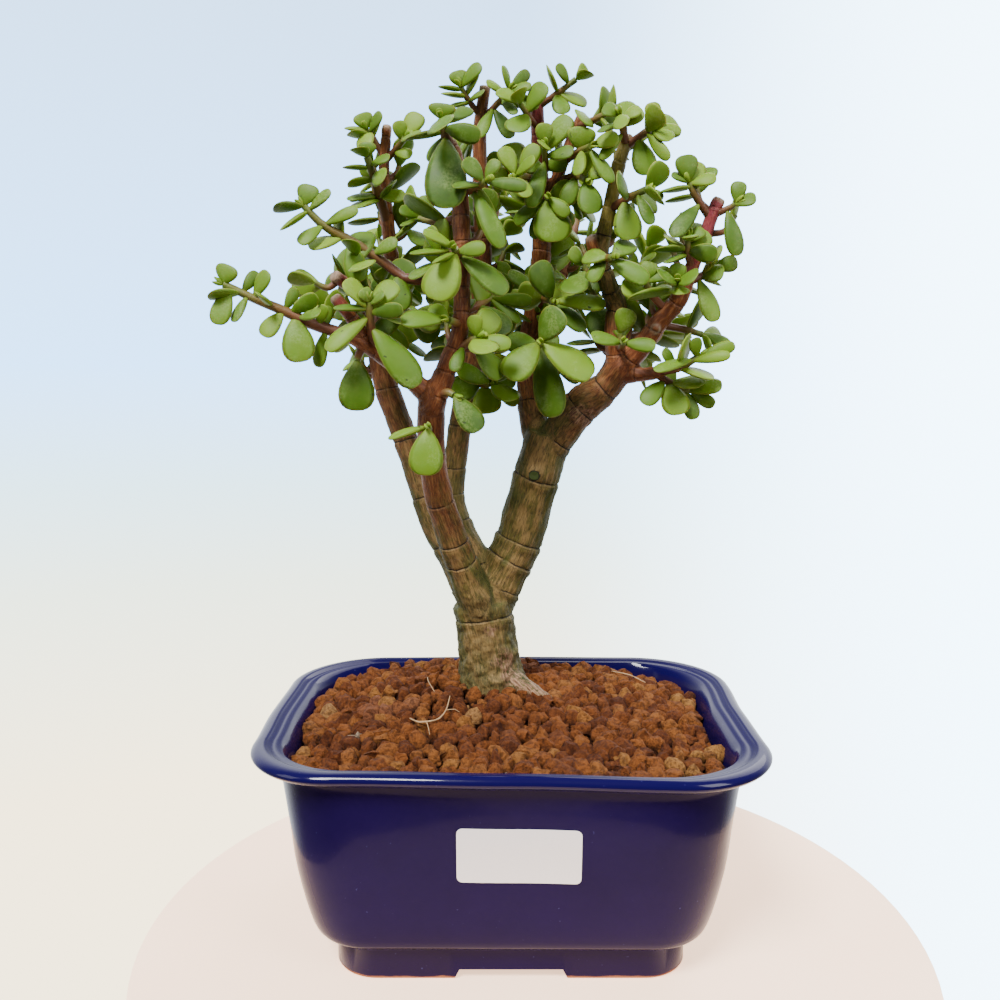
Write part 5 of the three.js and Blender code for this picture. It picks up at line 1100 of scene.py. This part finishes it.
def make_grains(name, tree, sizes, finish):
    """Loose grains of one size over the soil's surface."""
    lift = sizes["lift"]
    rings = soil_rings(GRAIN_GAP, -lift)
    points = np.vstack([*rings, [(0, 0, soil_height(0, 0) + lift)]])
    count = len(rings[0])
    faces = tube_faces(len(rings), count, closed=False)
    last = (len(rings) - 1) * count
    faces += [(last + i, last + (i + 1) % count, len(points) - 1) for i in range(count)]
    grains = mesh_object(name, points, faces)
    trunk = placed((TRUNK["x"], TRUNK["y"], 0))
    grow(grains, tree, spacing=sizes["spacing"] * MM, radius=sizes["radius"] * MM, facets=sizes["facets"],
         seed=sizes["seed"], trunk=(trunk[0], trunk[1], 0.0), trunk_radius=TRUNK["radius"] * MM,
         finish=finish)
    smooth_shaded(grains, GRAIN_SHARP)
    return piece(grains, "fired_clay_soil")


def make_rootlets(finish):
    """Thin dry roots that lie over the grains."""
    roots = [[(x, y, soil_height(x, y) + rise, radius * ROOTLET_GIRTH) for x, y, rise, radius in rows]
             for rows in ROOTLETS]
    tubes = joined_tubes(limb_tube(rows, ROOTLET_SIDES) for rows in roots)
    rootlets = mesh_object("dry_rootlets", *tubes)
    return piece(smooth_shaded(rootlets), "bark", finish=finish)


# ---- Wood ---------------------------------------------------------------------------------------
def limb_samples(rows, step):
    """Places along a limb: position, heading, thickness and run in millimetres."""
    line = Line([row[:3] for row in rows])
    dense = np.array([line.at(i / 200) for i in range(201)])
    run = np.concatenate([[0], np.cumsum(np.linalg.norm(np.diff(dense, axis=0), axis=1))])
    count = max(4, int(run[-1] / step))
    places = np.interp(np.linspace(0, run[-1], count), run, np.linspace(0, 1, 201))
    girths = [row[3] for row in rows]
    radius = np.interp(places, np.linspace(0, 1, len(rows)), girths)
    centres = np.array([line.at(t) for t in places])
    headings = np.array([line.heading(t) for t in places])
    return centres, headings, radius, np.linspace(0, run[-1], count)


def ring_frame(heading):
    """Two directions at right angles to each other and to a heading."""
    lead = np.array([0.0, 0, 1]) if abs(heading[0]) > 0.8 else np.array([1.0, 0, 0])
    u = unit(across(lead, heading))
    return u, np.cross(heading, u)


def limb_tube(rows, sides=LIMB_SIDES):
    centres, headings, radius, _ = limb_samples(rows, LIMB_STEP)
    rings = []
    for centre, heading, r in zip(centres, headings, radius):
        u, v = ring_frame(heading)
        rings.append([centre + r * (u * math.cos(a) + v * math.sin(a))
                      for a in np.linspace(0, 2 * math.pi, sides, endpoint=False)])
    points = np.vstack([[centres[0]], *rings, [centres[-1] + headings[-1] * 0.3]])
    return points, tube_faces(len(rings), sides)


def scar_rings(name, index, centres, along, stout):
    """Where the old leaf scars ring a limb, as run along it."""
    if name in RINGS:
        return np.interp(RINGS[name], centres[:, 2], along)
    if name.startswith("root"):
        return np.array([NO_RING])
    least, more = RING_RULE["stout" if stout else "thin"]
    places = []
    s = RING_RULE["first"] + RING_RULE["spread"] * draw(index, 90)
    while s < along[-1] - RING_RULE["end"]:
        places.append(s)
        s += least + more * draw(index, 99 + len(places))
    return np.array(places or [NO_RING])


def make_wood(finish):
    """All limbs grown into one body of wood, with its bark."""
    wood = mesh_object("wood_and_bark", *joined_tubes(limb_tube(rows) for rows in LIMBS.values()))
    remesh = wood.modifiers.new("one_body", "REMESH")
    remesh.mode = "VOXEL"
    remesh.voxel_size = VOXEL * MM
    soften = wood.modifiers.new("soften", "SMOOTH")
    soften.factor = 0.5
    soften.iterations = 5
    finished(wood)
    carve_bark(wood)
    smooth_shaded(wood)
    return piece(wood, "bark", "wood", finish=finish)


def blended(values, edges, rounds):
    """Values evened out between neighbouring points, so that one limb's bark runs into the next."""
    count = np.bincount(edges.ravel(), minlength=len(values))
    for _ in range(rounds):
        total = np.bincount(edges[:, 0], values[edges[:, 1]], len(values))
        total += np.bincount(edges[:, 1], values[edges[:, 0]], len(values))
        values = (values + total / np.maximum(count, 1)) / 2
    return values


def limb_marks(at):
    """What each point of the wood gets from the limb that it lies on."""
    marks = {key: np.zeros(len(at)) for key in ("tone", "ring_gap", "cut", "girth", "lift")}
    marks["streak"] = np.zeros((len(at), 3))
    best = np.full(len(at), 1e9)
    for index, (name, rows) in enumerate(LIMBS.items()):
        centres, headings, radius, run = limb_samples(rows, LIMB_STEP)
        rings = scar_rings(name, index, centres, run, rows[0][3] >= STOUT)
        low, high = centres.min(0) - LIMB_REACH, centres.max(0) + LIMB_REACH
        near = np.nonzero(np.all((at > low) & (at < high), axis=1))[0]
        for some in np.array_split(near, max(1, len(near) // SHARE_SIZE)):
            gap = np.linalg.norm(at[some, None] - centres[None], axis=2) - radius[None]
            k = gap.argmin(1)
            gap = gap[np.arange(len(some)), k]
            mine = gap < best[some]
            here, k = some[mine], k[mine]
            best[here] = gap[mine]
            offset = at[here] - centres[k]
            along = np.einsum("ij,ij->i", offset, headings[k])
            s = run[k] + along
            flat = np.zeros(len(s))
            marks["streak"][here] = offset - headings[k] * along[:, None]
            marks["streak"][here] += np.stack([flat, flat, s], 1) + index * STREAK_SHIFT
            marks["tone"][here] = lerp(*TONES[name], np.clip(s / run[-1], 0, 1))
            tilt = 0.5 * np.sin(np.arctan2(offset[:, 1], offset[:, 0]) + index)
            to_ring = (s + tilt)[:, None] - rings[None]
            d = to_ring[np.arange(len(s)), np.abs(to_ring).argmin(1)]
            ringed = s < run[-1] - 1
            marks["ring_gap"][here] = np.where(ringed, d, 9)
            size = np.clip(radius[k] / 6, 0.35, 1.3)
            groove = -GROOVE["depth"] * np.exp(-(d / GROOVE["width"]) ** 2)
            collar = COLLAR["rise"] * np.exp(-((d + COLLAR["below"]) / COLLAR["width"]) ** 2)
            marks["lift"][here] = size * (groove + collar) * np.where(ringed, 1.0, 0.0)
            marks["girth"][here] = radius[k]
            marks["cut"][here] = np.clip((s - run[-1] + 1.8) / 1.0, 0, 1) if name in PRUNED else 0
    return marks


def carve_bark(wood):
    """Carves rings, ridges and knots into the wood, and keeps what the bark's finish needs."""
    mesh = wood.data
    at = read(mesh.vertices, "co", 3) / MM + MIDDLE
    normals = read(mesh.vertices, "normal", 3)
    marks = limb_marks(at)
    lift, streak = marks["lift"], marks["streak"]
    # painted light: bark turned to the front, and less so to the back, gets a high value and its sides
    # and top a low one, which the bark's finish turns into lighter and darker tones
    sunny = np.clip(0.2 + 0.75 * np.maximum(-normals[:, 1], normals[:, 1] * 0.6), 0, 1)
    tone = blended(marks["tone"], read(mesh.edges, "vertices", 2, np.int32), TONE_ROUNDS)
    corky, scurf = np.zeros(len(at)), np.zeros(len(at))
    for x, y, z, reach, rise, cork in KNOTS:
        d = np.linalg.norm(at - (x, y, z), axis=1) / reach
        lift += rise * (np.exp(-d**2) - 0.8 * np.exp(-((d * 2.2) ** 2)))
        corky = np.maximum(corky, cork * np.exp(-(d * 0.8) ** 2))
    for x, y, z, reach in SCURF:
        scurf = np.maximum(scurf, np.exp(-(np.linalg.norm(at - (x, y, z), axis=1) / reach) ** 2))
    eye = np.clip((EYE[3] - np.linalg.norm(at - EYE[:3], axis=1)) / 0.6, 0, 1)
    away = np.linalg.norm(at - PALE_RING[:3], axis=1)
    cut_end = np.maximum(marks["cut"], np.exp(-(((away - PALE_RING[3]) / 0.45) ** 2)))
    lift += 0.9 * np.exp(-((away / PALE_RING[3]) ** 4))
    base = np.clip((BASE["top"] - at[:, 2]) / BASE["fade"], 0, 1)
    base = base * np.clip((at[:, 2] - BASE["bottom"]) / BASE["rise"], 0, 1)
    corky = np.clip(corky + base * 0.8, 0, 1)
    for i, p in enumerate(at):
        ridges = noise.noise(Vector((streak[i, 0] * 0.9, streak[i, 1] * 0.9, streak[i, 2] * 0.13)))
        lumps, flakes, knobs = (noise.noise(Vector(p * scale)) for scale in (0.16, 0.7, 0.34))
        heavy = min(1.0, marks["girth"][i] / 7)
        scaly = (RELIEF["flakes"] + RELIEF["cork"] * corky[i]) * flakes
        lift[i] += heavy * (RELIEF["ridges"] * ridges + RELIEF["lumps"] * lumps + scaly
                            + RELIEF["knobs"] * base[i] * knobs)
    moved = at + normals * lift[:, None]
    mesh.vertices.foreach_set("co", placed(moved).astype(np.float32).ravel())
    mesh.update()
    set_values(mesh, "streak", "FLOAT_VECTOR", streak * MM)
    fields = {"tone": tone, "ring_gap": marks["ring_gap"], "cut": cut_end, "corky": corky, "sunny": sunny,
              "scurf": scurf, "eye": eye}
    for name, values in fields.items():
        set_values(mesh, name, "FLOAT", values)


# ---- Leaves and shoots --------------------------------------------------------------------------
def half_width(t):
    """Half the width of a leaf a millimetre wide, from its root at 0 to its tip at 1."""
    return 1.1 * t**0.88 * (1 - t) ** 0.4


def leaf_blank():
    """One fleshy leaf, a millimetre long, wide and thick, from its root at the origin along +Y."""
    stations = [0.03, 0.13, 0.27, 0.42, 0.57, 0.7, 0.81, 0.9, 0.96, 0.99]
    around = 8
    points, along, rim = [(0, 0, 0)], [0.0], [0.3]
    for t in stations:
        thick = 0.95 * math.sin(math.pi * t**0.8) ** 0.55
        for k in range(around):
            a = 2 * math.pi * k / around
            x, z = math.cos(a), math.sin(a)
            cup = 0.4 * x * x * math.sin(math.pi * t)
            points.append((x * half_width(t), t, z * abs(z) ** 0.15 * thick + cup))
            along.append(t)
            rim.append(max(abs(x) ** 6, max(0.0, (t - 0.86) / 0.14) ** 2))
    points.append((0, 1, 0))
    along.append(1.0)
    rim.append(1.0)
    faces = [tuple(reversed(f)) for f in tube_faces(len(stations), around)]
    mesh = bpy.data.meshes.new("leaf_blank")
    mesh.from_pydata([(x * MM, y * MM, z * MM) for x, y, z in points], [], faces)
    mesh.update()
    set_values(mesh, "along_leaf", "FLOAT", along)
    set_values(mesh, "rim", "FLOAT", rim)
    blank = bpy.data.objects.new("leaf_blank", mesh)
    bpy.context.scene.collection.objects.link(blank)
    return blank


def light_at(place):
    """The way from a place in the crown to the light."""
    out = unit(np.array([place[0] - CROWN_AXIS[0], place[1] - CROWN_AXIS[1], 0]))
    return unit(np.array([out[0], out[1] - WINDOW, LIGHT_SLOPE]))


def pair_leaf(shoot, line, index, pair, half, escape):
    """A leaf of a pair, turned, swept and sized by one of the escapes."""
    turn, sweep, scale = escape
    last = max(1, shoot["pairs"] - 1)
    place = shoot["first"] if shoot["pairs"] == 1 else lerp(shoot["first"], 1, pair / last)
    axis = line.heading(place)
    level = abs(unit(line.at(1) - line.at(0))[0]) > 0.75
    lead = np.array([0.0, 0, 1]) if level else np.array([1.0, 0, 0])
    out = unit(across(lead, axis))
    jitter = (draw(index * 7 + pair, half) - 0.5) * SPREAD["turn"]
    out = turned(out, axis, shoot["turn"] + 90 * pair + 180 * half + jitter + turn)
    share = 1 if shoot["pairs"] == 1 else pair / last
    rise = (draw(index, pair * 2 + half) - 0.5) * SPREAD["sweep"]
    angle = math.radians(lerp(*SWEEP, share) + sweep + rise)
    along = axis * math.cos(angle) + out * math.sin(angle)
    root = line.at(place)
    face = unit(across(axis, along)) * (1 - LIGHT) + light_at(root) * LIGHT
    face = unit(across(face, along))
    face = turned(face, along, math.degrees((draw(index + 3, pair * 2 + half) - 0.5) * SPREAD["roll"]))
    size = lerp(*shoot["size"], 0 if shoot["pairs"] == 1 else pair / last)
    least, more = SPREAD["length"]
    length = size * scale * (least + more * draw(index + 11, pair * 2 + half))
    least, more = SPREAD["curl"]
    curl = least + more * draw(index + 23, pair * 2 + half)
    return dict(root=root, along=along, face=face, length=length, width=length * NARROW, curl=curl,
                young=0.25 + 0.6 * share)


def single_leaf(line, row, escape):
    """A leaf with a tip of its own, turned, swept and sized by one of the escapes."""
    t, tip, width, *roll = row
    turn, sweep, scale = escape
    root = line.at(t)
    along = np.array(tip, float) - root
    length = np.linalg.norm(along) * scale
    along = unit(along)
    face = unit(across(FACE, along))
    side = np.cross(face, along)
    along = turned(along, face, turn / 2)
    along = turned(along, side, sweep / 2)
    face = turned(unit(across(face, along)), along, sum(roll))
    return dict(root=root, along=along, face=face, length=length, width=width * scale, curl=-0.04,
                young=max(0.0, 0.75 - length / 16))


def leaf_tip(leaf):
    return leaf["root"] + (leaf["along"] + leaf["face"] * leaf["curl"]) * leaf["length"]


def solid_leaves(shoot, line, index):
    """The leaves that the shoot's solid has: for each, the escape whose tip is a corner of the solid."""
    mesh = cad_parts["spray_" + shoot["name"]].data
    corners = kdtree.KDTree(len(mesh.vertices))
    for i, vertex in enumerate(mesh.vertices):
        corners.insert(vertex.co, i)
    corners.balance()
    poses = [lambda escape, row=row: single_leaf(line, row, escape) for row in shoot.get("leaves", [])]
    for pair in reversed(range(shoot["pairs"])):
        for half in (0, 1):
            poses.append(lambda escape, pair=pair, half=half:
                         pair_leaf(shoot, line, index, pair, half, escape))
    found = []
    for pose in poses:
        for escape in ESCAPES:
            leaf = pose(escape)
            if corners.find(placed(leaf_tip(leaf)))[2] < TIP_MATCH * MM:
                found.append(leaf)
                break
    return found


def bud_leaves(line, index):
    """Two tiny leaves that close over a shoot's growing tip."""
    axis = line.heading(1)
    out = unit(across(np.array([0.3, 0.9, 0.4]), axis))
    out = turned(out, axis, 360 * draw(index, 61))
    buds = []
    for side in (1, -1):
        along = unit(axis + out * side * 0.35)
        face = unit(across(-out * side, along))
        buds.append(dict(root=line.at(1), along=along, face=face, **TIP_LEAF))
    return buds


def spray_tree():
    """A twig along its edges and a fleshy leaf at each marked point."""
    g, given = new_tree("leafy_shoot", {"Geometry": "Geometry", "Leaf": "Object", "Twig Sides": "Int",
                                        "Leaf Finish": "Material", "Twig Finish": "Material"})
    nodes, links = g.tree.nodes, g.tree.links

    def named(name, kind="FLOAT"):
        return g.node("GeometryNodeInputNamedAttribute", {"data_type": kind}, {"Name": name})

    parts = nodes.new("GeometryNodeSeparateGeometry")
    links.new(given["Geometry"].socket, parts.inputs["Geometry"])
    links.new(named("blade", "BOOLEAN").socket, parts.inputs["Selection"])
    roots, stalk = Value(g, parts.outputs["Selection"]), Value(g, parts.outputs["Inverted"])
    blank = nodes.new("GeometryNodeObjectInfo")
    links.new(given["Leaf"].socket, blank.inputs["Object"])
    turn = g.node("FunctionNodeAxesToRotation", {"primary_axis": "Y", "secondary_axis": "Z"},
                  {0: named("along", "FLOAT_VECTOR"), 1: named("face", "FLOAT_VECTOR")})
    sockets = {"Points": roots, "Instance": Value(g, blank.outputs["Geometry"]), "Rotation": turn,
               "Scale": named("size", "FLOAT_VECTOR")}
    leaves = g.node("GeometryNodeInstanceOnPoints", {}, sockets)
    leaves = g.node("GeometryNodeRealizeInstances", {}, {"Geometry": leaves})
    length = g.axis(named("size", "FLOAT_VECTOR"), 1)
    bend = named("curl") * length * named("along_leaf") ** 2 * MM
    offset = g.scaled(named("face", "FLOAT_VECTOR"), bend)
    leaves = g.node("GeometryNodeSetPosition", {}, {"Geometry": leaves, "Offset": offset})
    leaves = g.node("GeometryNodeSetMaterial", {}, {"Geometry": leaves, "Material": given["Leaf Finish"]})
    curve = g.node("GeometryNodeMeshToCurve", {}, {"Mesh": stalk})
    sockets = {"Resolution": given["Twig Sides"], "Radius": MM}
    ring = g.node("GeometryNodeCurvePrimitiveCircle", {}, sockets)
    sweep = {"Curve": curve, "Profile Curve": ring, "Fill Caps": True, "Scale": named("girth")}
    twig = g.node("GeometryNodeCurveToMesh", {}, sweep)
    twig = g.node("GeometryNodeSetMaterial", {}, {"Geometry": twig, "Material": given["Twig Finish"]})
    join = nodes.new("GeometryNodeJoinGeometry")
    links.new(leaves.socket, join.inputs[0])
    links.new(twig.socket, join.inputs[0])
    return ended(g, g.node("GeometryNodeRealizeInstances", {}, {"Geometry": Value(g, join.outputs[0])}))


def keep_in_box(made):
    """Holds every point within the solids' box."""
    vertices = made.data.vertices
    low, high = np.array(CAD_BOX) + [[BOX_MARGIN], [-BOX_MARGIN]]
    vertices.foreach_set("co", np.clip(read(vertices, "co", 3), low, high).astype(np.float32).ravel())
    made.data.update()


def make_spray(name, twigs, leaves, tools, *nodes):
    """One leafy piece from its twigs, each a line with its two thicknesses, and its leaves."""
    points, edges, girths, ages = [], [], [], []
    count = TWIG["points"]
    for line, (foot, tip), joints in twigs:
        start = len(points)
        for i in range(count):
            t = i / (count - 1)
            near = [math.exp(-((t - joint) * TWIG["knuckle_sharp"]) ** 2) for joint in joints]
            swell = max([0.0] + near)
            points.append(line.at(t))
            girths.append(lerp(foot, tip, t) * (1 + TWIG["knuckle"] * swell))
            ages.append(t)
        edges += [(start + i, start + i + 1) for i in range(count - 1)]
    stalk = len(points)
    points += [leaf["root"] for leaf in leaves]
    spray = mesh_object(name, points, [], edges)
    mesh = spray.data
    none = np.zeros((stalk, 3))
    blade = mesh.attributes.new("blade", "BOOLEAN", "POINT")
    blade.data.foreach_set("value", [i >= stalk for i in range(len(points))])
    set_values(mesh, "along", "FLOAT_VECTOR", np.vstack([none, [leaf["along"] for leaf in leaves]]))
    set_values(mesh, "face", "FLOAT_VECTOR", np.vstack([none, [leaf["face"] for leaf in leaves]]))
    sizes = [(leaf["width"] * LEAF_FIT[0], leaf["length"] * LEAF_FIT[1],
              LEAF_THICK[0] + LEAF_THICK[1] * leaf["length"]) for leaf in leaves]
    set_values(mesh, "size", "FLOAT_VECTOR", np.vstack([none, sizes]))
    set_values(mesh, "curl", "FLOAT", [0] * stalk + [leaf["curl"] for leaf in leaves])
    set_values(mesh, "young", "FLOAT", [0] * stalk + [leaf["young"] for leaf in leaves])
    seed = sum(ord(letter) for letter in name)
    tints = [draw(seed, 40 + i) for i in range(len(leaves))]
    set_values(mesh, "tint", "FLOAT", [0] * stalk + tints)
    set_values(mesh, "girth", "FLOAT", girths + [0] * len(leaves))
    set_values(mesh, "age", "FLOAT", ages + [0] * len(leaves))
    grow(spray, tools["tree"], leaf=tools["leaf"], twig_sides=TWIG["sides"],
         leaf_finish=tools["leaf_skin"], twig_finish=tools["twig_skin"])
    for done in ("along", "face", "size", "curl", "girth", "blade"):
        if done in spray.data.attributes:
            spray.data.attributes.remove(spray.data.attributes[done])
    keep_in_box(spray)
    smooth_shaded(spray)
    return piece(spray, "leaf", *nodes)


def make_sprays(tools):
    """Every shoot that has a solid, and a list of their leaves."""
    everything = []
    for index, shoot in enumerate(SHOOTS):
        line = Line(shoot["line"])
        leaves = solid_leaves(shoot, line, index)
        everything += leaves
        last = max(1, shoot["pairs"] - 1)
        joints = [lerp(shoot["first"], 1, pair / last) for pair in range(shoot["pairs"])]
        twig = (line, shoot["thick"], joints)
        leaves = leaves + bud_leaves(line, index)
        make_spray("shoot_" + shoot["name"], [twig], leaves, tools, "spray_" + shoot["name"])
    return everything


# ---- Small shoots from old buds, inside the crown ------------------------------------------------
def blade_points(leaf):
    """Places over a leaf's blade, by which it is kept clear of the others."""
    side = np.cross(leaf["face"], leaf["along"])
    length = leaf["length"]
    spots = []
    for t in (0.3, 0.5, 0.7, 0.9, 1.0):
        middle = leaf["root"] + leaf["along"] * length * t + leaf["face"] * leaf["curl"] * length * t * t
        for share in (-0.9, -0.45, 0, 0.45, 0.9):
            spots.append(middle + side * share * half_width(min(t, 0.99)) * leaf["width"])
    return np.array(spots)


def bud_shoot(root, heading, out, seed):
    """A short twig with two pairs of leaves."""
    axis = unit(heading * 0.5 + out)
    length = BUDS["twig"][0] + draw(seed, 1) * (BUDS["twig"][1] - BUDS["twig"][0])
    line = Line([root, root + axis * length * 0.5, root + unit(axis + np.array([0, 0, 0.5])) * length])
    first = unit(across(np.array([0.2, 0.3, 1.0]), axis))
    leaves = []
    for pair, place in enumerate(BUDS["pairs"]):
        for half in (0, 1):
            k = pair * 2 + half
            away = turned(first, axis, 90 * pair + 180 * half + 60 * draw(seed, 2 + k))
            along = unit(axis * (0.55 + 0.5 * pair) + away)
            face = unit(across(unit(axis + 0.2 * away) * 0.5 + light_at(root) * 0.5, along))
            size = lerp(BUDS["leaf"][1], BUDS["leaf"][0], pair) * (0.8 + 0.4 * draw(seed, 8 + k))
            width = size * (0.7 + 0.2 * draw(seed, 14 + k))
            curl = -0.05 + 0.12 * draw(seed, 20 + k)
            leaves.append(dict(root=line.at(place), along=along, face=face, length=size, width=width,
                               curl=curl, young=0.2 + 0.5 * pair))
    return line, leaves


def clear_leaves(leaves, taken):
    """Those of a shoot's leaves that stay inside the box and clear of all the others."""
    low, high = np.array(CAD_BOX) / MM + MIDDLE
    fresh = []
    others = np.vstack(taken)
    for leaf in leaves:
        spots = blade_points(leaf)
        inside = np.all((spots > low + BUDS["inset"]) & (spots < high - BUDS["inset"]))
        gap = np.linalg.norm(spots[:, None] - others[None], axis=2).min()
        if inside and gap > BUDS["clear"]:
            fresh.append(leaf)
            others = np.vstack([others, spots])
    return fresh


def make_bud_shoots(standing, tools):
    """Fills the inside of the crown, clear of the leaves that stand there already."""
    taken = [blade_points(leaf) for leaf in standing]
    twigs, kept = [], []
    for index, name in enumerate(BUDS["limbs"]):
        behind = name.startswith("back")
        closer = BUDS["back_step"] if behind else 1
        centres, headings, radius, run = limb_samples(LIMBS[name], BUDS["sample"])
        place = 3.0 + 3 * draw(index, 300)
        while place < run[-1] * BUDS["end"]:
            k = int(np.searchsorted(run, place))
            place += BUDS["step"] * (0.7 + 0.6 * draw(index, 310 + k)) * closer
            if not BUDS["low"] < centres[k][2] < BUDS["high"]:
                continue
            for side in range(BUDS["sides"]):
                seed = index * 97 + k * 5 + side
                u, v = ring_frame(headings[k])
                a = 2 * math.pi * (side / BUDS["sides"] + draw(seed, 30))
                out = u * math.cos(a) + v * math.sin(a)
                if out[1] < BUDS["front"] and not behind:
                    continue
                line, leaves = bud_shoot(centres[k] + out * radius[k] * 0.7, headings[k], out, seed)
                fresh = clear_leaves(leaves, taken)
                if len(fresh) >= BUDS["least"]:
                    taken += [blade_points(leaf) for leaf in fresh]
                    twigs.append((line, BUDS["girth"], BUDS["pairs"]))
                    kept += fresh
    make_spray("bud_shoots", twigs, kept, tools)
    return len(kept)


# ---- Camera, light and ground -------------------------------------------------------------------
FLOOR = dict(x=6.6, y=-12, radius=121, sides=96)
CAMERA = dict(x=-3.25, y=-295.7, z=171.3, down=6.96, lens=33.91, sensor=36)
AIM = (0, 0, 0.13)  # where every light looks, in metres


def make_camera():
    data = bpy.data.cameras.new("camera")
    data.lens = CAMERA["lens"]
    data.sensor_width = CAMERA["sensor"]
    data.clip_start = 0.01
    camera = bpy.data.objects.new("camera", data)
    camera.location = placed((CAMERA["x"], CAMERA["y"], CAMERA["z"]))
    camera.rotation_euler = (math.radians(90 - CAMERA["down"]), 0, 0)
    bpy.context.scene.collection.objects.link(camera)
    bpy.context.scene.camera = camera


def aimed(name, data, place):
    """Stands a light at a place in metres, turned to the middle of the tree."""
    light = bpy.data.objects.new(name, data)
    light.location = place
    light.rotation_euler = (Vector(AIM) - light.location).to_track_quat("-Z", "Y").to_euler()
    bpy.context.scene.collection.objects.link(light)


def sun(name, place, strength, softness):
    data = bpy.data.lights.new(name, "SUN")
    data.energy = strength
    data.angle = math.radians(softness)
    aimed(name, data, place)


def soft_box(name, place, size, power):
    data = bpy.data.lights.new(name, "AREA")
    data.shape = "RECTANGLE"
    data.size, data.size_y = size
    data.energy = power
    aimed(name, data, place)


def make_room(finish):
    """A round pale turntable under soft daylight, with a plain backdrop from warm white to pale blue."""
    rim = [(FLOOR["x"] + FLOOR["radius"] * math.cos(a), FLOOR["y"] + FLOOR["radius"] * math.sin(a), 0)
           for a in np.linspace(0, 2 * math.pi, FLOOR["sides"], endpoint=False)]
    ground = mesh_object("ground", rim, [tuple(range(FLOOR["sides"]))])
    ground.data.materials.append(finish)
    sun("daylight", (-0.45, -0.75, 1.3), 5.9, 20)
    sun("back_daylight", (0.5, 0.8, 1.1), 1.5, 50)
    soft_box("window", (0.8, -0.7, 0.8), (0.5, 0.8), 11)
    soft_box("reflector", (-1.1, -0.5, 0.6), (0.5, 0.8), 4)
    world = bpy.data.worlds.new("pale_room")
    world.use_nodes = True
    g = Graph(world.node_tree)
    towards = g.node("ShaderNodeTexCoord", out=0)
    across_room, depth, rise = (g.axis(towards, k) for k in range(3))
    backdrop = g.ramp(rise + 0.5, [(0.12, (1.15, 0.98, 0.66)), (0.3, (0.82, 0.92, 0.78)),
                                   (0.4, (0.6, 0.88, 1.02)), (0.52, (0.4, 0.84, 1.5)),
                                   (0.86, (0.4, 0.66, 1.02))])
    backdrop = g.mix(g.band(across_room, 0.0, 0.5), backdrop, rgb(1.5, 2.2, 2.8))
    ambient = g.mix(g.band(rise, -0.3, 0.5), rgb(0.36, 0.33, 0.28), rgb(0.21, 0.24, 0.28))
    ambient = g.mix(g.band(depth, 0.0, -0.7), ambient, rgb(0.13, 0.13, 0.15))
    aside = g.band(across_room.math("ABSOLUTE"), 0.06, 0.24)
    ends = g.mix(aside, rgb(0.55, 0.58, 0.62), rgb(2.2, 2.3, 2.4))
    ambient = g.mix(g.band(depth, 0.1, 0.8), ambient, ends)
    seen = g.node("ShaderNodeLightPath", out=0)
    shade = world.node_tree.nodes["Background"]
    world.node_tree.links.new(g.mix(seen, ambient, backdrop).socket, shade.inputs[0])
    world.node_tree.links.new((seen * 3.0 + 1.0).socket, shade.inputs[1])
    bpy.context.scene.world = world


# ---- Making it ----------------------------------------------------------------------------------
make_camera()
make_room(new_finish("pale_ground", pale_ground, Emission_Color=rgb(1.0, 0.64, 0.42),
                     Emission_Strength=1.9))

make_pot(new_finish("cobalt_glaze", cobalt_glaze, Coat_Roughness=0.05, Specular_IOR_Level=0.06))
make_label(new_finish("bare_paper", paper))
make_bed(new_finish("damp_bed", damp_bed, Specular_IOR_Level=0.1))
clay = new_finish("fired_clay", fired_clay, Specular_IOR_Level=0.25)
scatter = grain_tree()
make_grains("clay_grains", scatter, GRAINS, clay)
make_grains("clay_crumbs", scatter, CRUMBS, clay)
make_wood(new_finish("bark", bark, Specular_IOR_Level=0.4))
make_rootlets(new_finish("dry_root", dry_root))

plastic = new_finish("black_plastic", black_plastic)
for side in ("left", "right"):
    mesh_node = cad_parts["drain_mesh_" + side]
    mesh_node.data.materials.clear()
    mesh_node.data.materials.append(plastic)

tools = {
    "tree": spray_tree(),
    "leaf": leaf_blank(),
    "leaf_skin": new_finish("leaf_skin", leaf_skin, Specular_IOR_Level=0.26, Subsurface_Weight=0.12,
                            Subsurface_Scale=0.002),
    "twig_skin": new_finish("twig_skin", twig_skin),
}
leaves = make_sprays(tools)
buds = make_bud_shoots(leaves, tools)
bpy.data.objects.remove(tools["leaf"])
